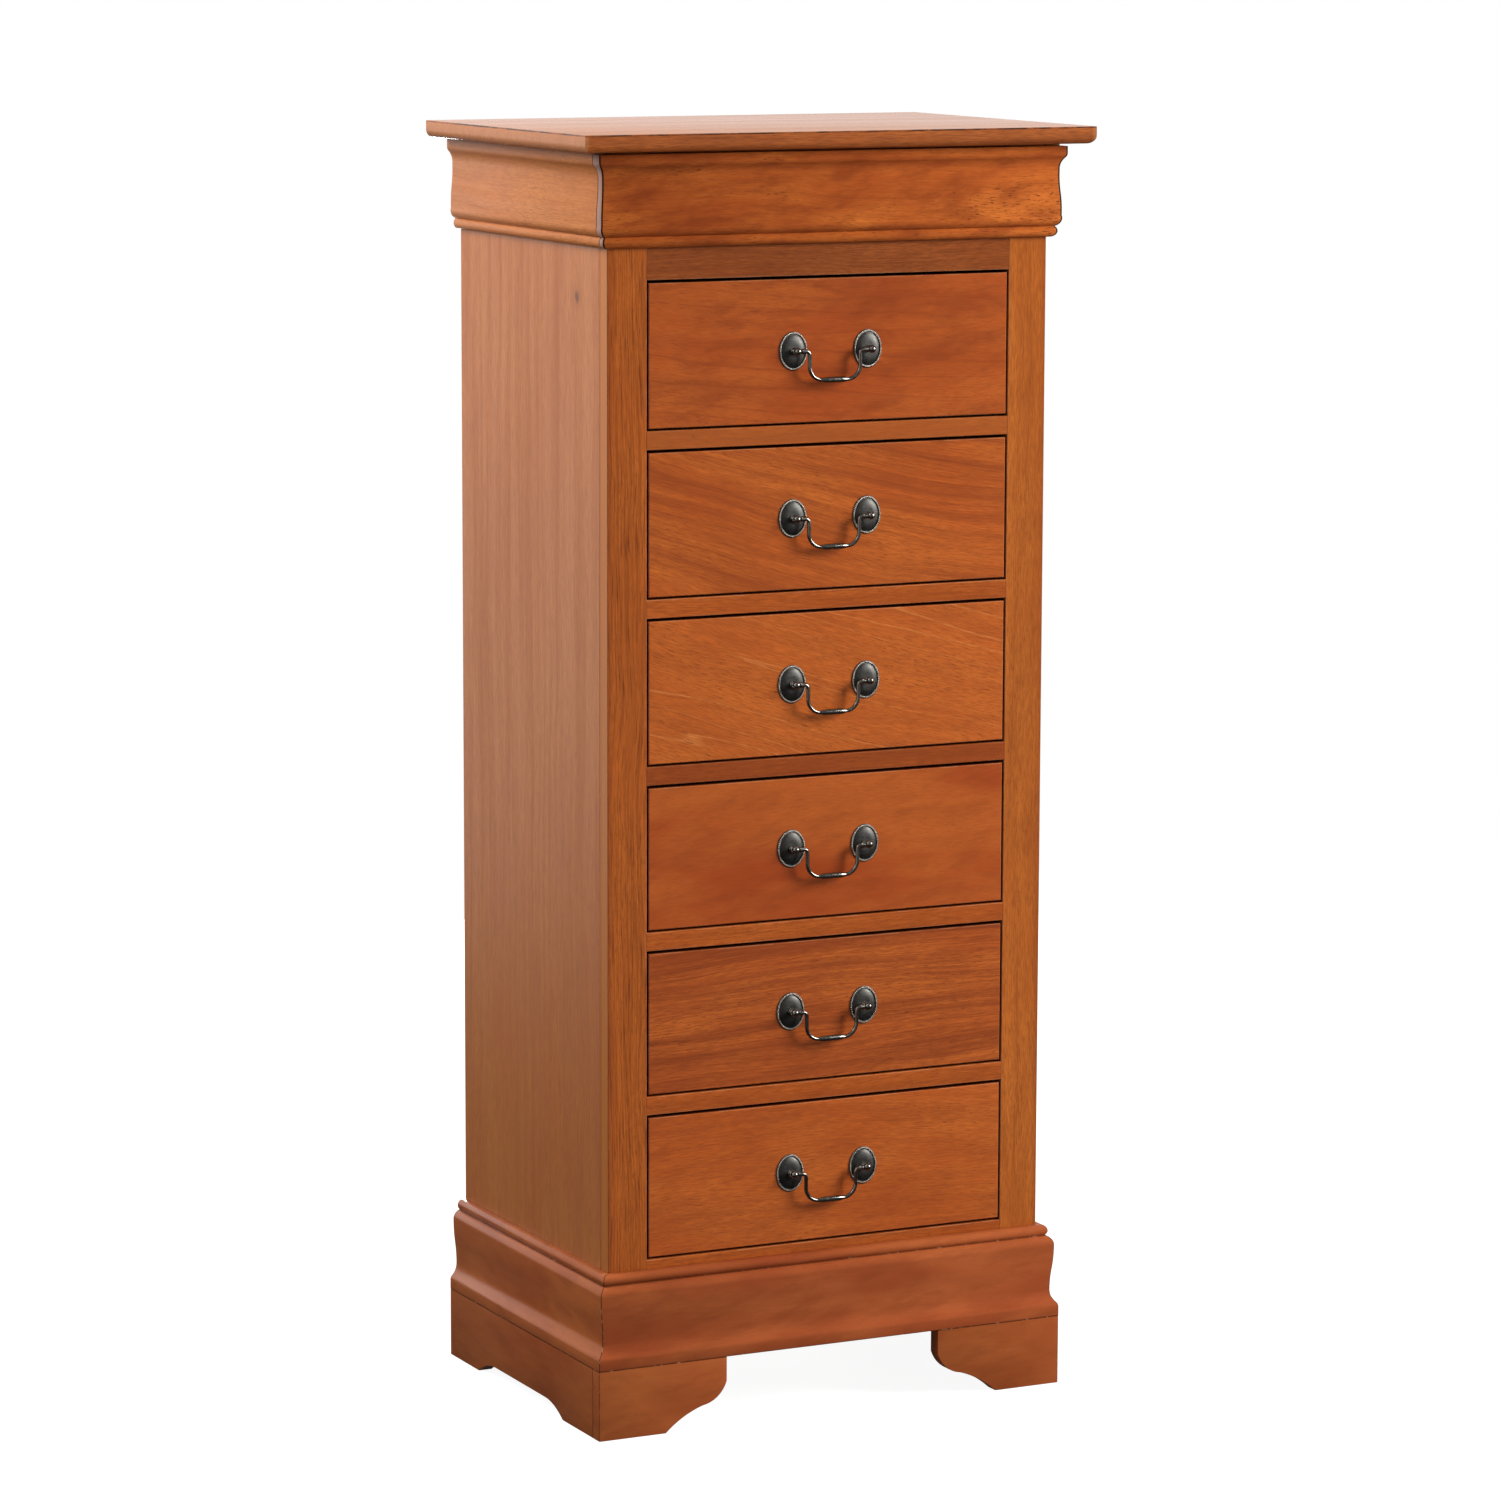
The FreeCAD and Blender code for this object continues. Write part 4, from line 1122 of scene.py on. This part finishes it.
# Lamps: where each stands and points, the width of its disk and its power. The two strong ones glint in the
# metal alone, by a twin that stands a little nearer, so that they don't glare in the top board
Lamp = namedtuple("Lamp", "name place target size power")
STRONG_LAMPS = (Lamp("key", (3.4, -2.7, 2.35), (0, 0, 0.6), 2.4, 300),
                Lamp("left_fill", (-1.5, 0.3, 2.05), (-0.2, 0, 1.0), 1.6, 39))
SOFT_LAMPS = (Lamp("overhead", (0, 0.3, 3.2), (0, 0, 1.3), 1.6, 18),
              Lamp("back_fill", (0.9, 2.6, 0.6), (0, 0.2, 0.6), 0.9, 30))
GLINT_NEARER = 0.02

# The camera stands where the photograph was taken, from a fit of the chest's corners
CAMERA_PLACE = (-2.506414, -5.077464, 1.526955)
CAMERA_RIGHT = Vector((0.897412, -0.441184, 0.002835))
CAMERA_UP = Vector((0.064637, 0.137830, 0.988345))
CAMERA_LENS = 133.942
CAMERA_SENSOR = 36.0
CAMERA_FAR = 60.0


def make_world():
    """A white studio. In gloss, the room in front of the chest and the foot of the backdrop are dim."""
    world = bpy.data.worlds.new("studio")
    bpy.context.scene.world = world
    world.use_nodes = True
    studio = Nodes(world.node_tree)
    way = studio.node("TexCoord").outputs["Object"]
    path = studio.node("LightPath").outputs
    ahead = studio.node("VectorMath", {0: way, 1: ROOM_WAY}, operation="DOT_PRODUCT").outputs["Value"]
    height = studio.node("SeparateXYZ", {0: way}).outputs["Z"]
    lit = studio.math("MULTIPLY", studio.rise(height, *SWEEP_DIM), studio.rise(ahead, *ROOM_DIM))
    gloss = studio.math("MULTIPLY", path["Is Glossy Ray"], lit)
    seen = studio.math("MAXIMUM", path["Is Camera Ray"], path["Is Transmission Ray"])
    shown = studio.math("MAXIMUM", gloss, seen)
    background = studio.tree.nodes["Background"]
    studio.put(background.inputs["Color"], WHITE)
    studio.put(background.inputs["Strength"], studio.math("MAXIMUM", shown, AMBIENT))


def make_floor():
    """A pale floor that is white to the camera and keeps the shadow of the chest."""
    bm = bmesh.new()
    bmesh.ops.create_grid(bm, x_segments=1, y_segments=1, size=FLOOR_SIZE / 2)
    mesh = bpy.data.meshes.new("floor")
    bm.to_mesh(mesh)
    bm.free()
    floor = bpy.data.objects.new("floor", mesh)
    bpy.context.scene.collection.objects.link(floor)
    finish = Finish("floor_white")
    path = finish.node("LightPath").outputs
    seen = finish.math("MAXIMUM", path["Is Camera Ray"], path["Is Transmission Ray"])
    gloss = finish.math("MULTIPLY", path["Is Glossy Ray"], FLOOR_GLOSS)
    glow = finish.math("MULTIPLY", finish.math("MAXIMUM", seen, gloss), FLOOR_GLOW)
    grey = finish.math("MULTIPLY_ADD", path["Is Glossy Ray"], -FLOOR_GREY, FLOOR_GREY)
    finish.surface(Base_Color=finish.node("CombineColor", {0: grey, 1: grey, 2: grey}).outputs[0],
                   Roughness=FLOOR_ROUGHNESS, Specular_IOR_Level=0.0, Emission_Color=WHITE,
                   Emission_Strength=glow)
    mesh.materials.append(finish.material)


def make_lamp(lamp, glossy=True):
    light = bpy.data.lights.new(lamp.name, "AREA")
    light.shape = "DISK"
    light.size = lamp.size
    light.energy = lamp.power
    holder = bpy.data.objects.new(lamp.name, light)
    holder.location = lamp.place
    holder.rotation_euler = (Vector(lamp.target) - Vector(lamp.place)).to_track_quat("-Z", "Y").to_euler()
    holder.visible_glossy = glossy
    bpy.context.scene.collection.objects.link(holder)
    return holder


def make_lights(metal_pieces):
    metal = bpy.data.collections.new("metal_pieces")
    for piece in metal_pieces:
        metal.objects.link(piece)
    for lamp in STRONG_LAMPS:
        make_lamp(lamp, glossy=False)
        nearer = Vector(lamp.place).lerp(Vector(lamp.target), GLINT_NEARER)
        glint = make_lamp(lamp._replace(name=lamp.name + "_glint", place=nearer))
        glint.light_linking.receiver_collection = metal
    for lamp in SOFT_LAMPS:
        make_lamp(lamp)


def make_camera():
    lens = bpy.data.cameras.new("camera")
    lens.lens = CAMERA_LENS
    lens.sensor_width = CAMERA_SENSOR
    lens.clip_end = CAMERA_FAR
    camera = bpy.data.objects.new("camera", lens)
    axes = Matrix((CAMERA_RIGHT, CAMERA_UP, CAMERA_RIGHT.cross(CAMERA_UP))).transposed()
    camera.matrix_world = Matrix.Translation(CAMERA_PLACE) @ axes.to_4x4()
    bpy.context.scene.collection.objects.link(camera)
    bpy.context.scene.camera = camera


dress_case()
dress_drawers()
make_top_board()
make_mouldings()
metal_pieces = make_pulls()
make_world()
make_floor()
make_lights(metal_pieces)
make_camera()
bpy.context.scene.view_settings.view_transform = "Standard"
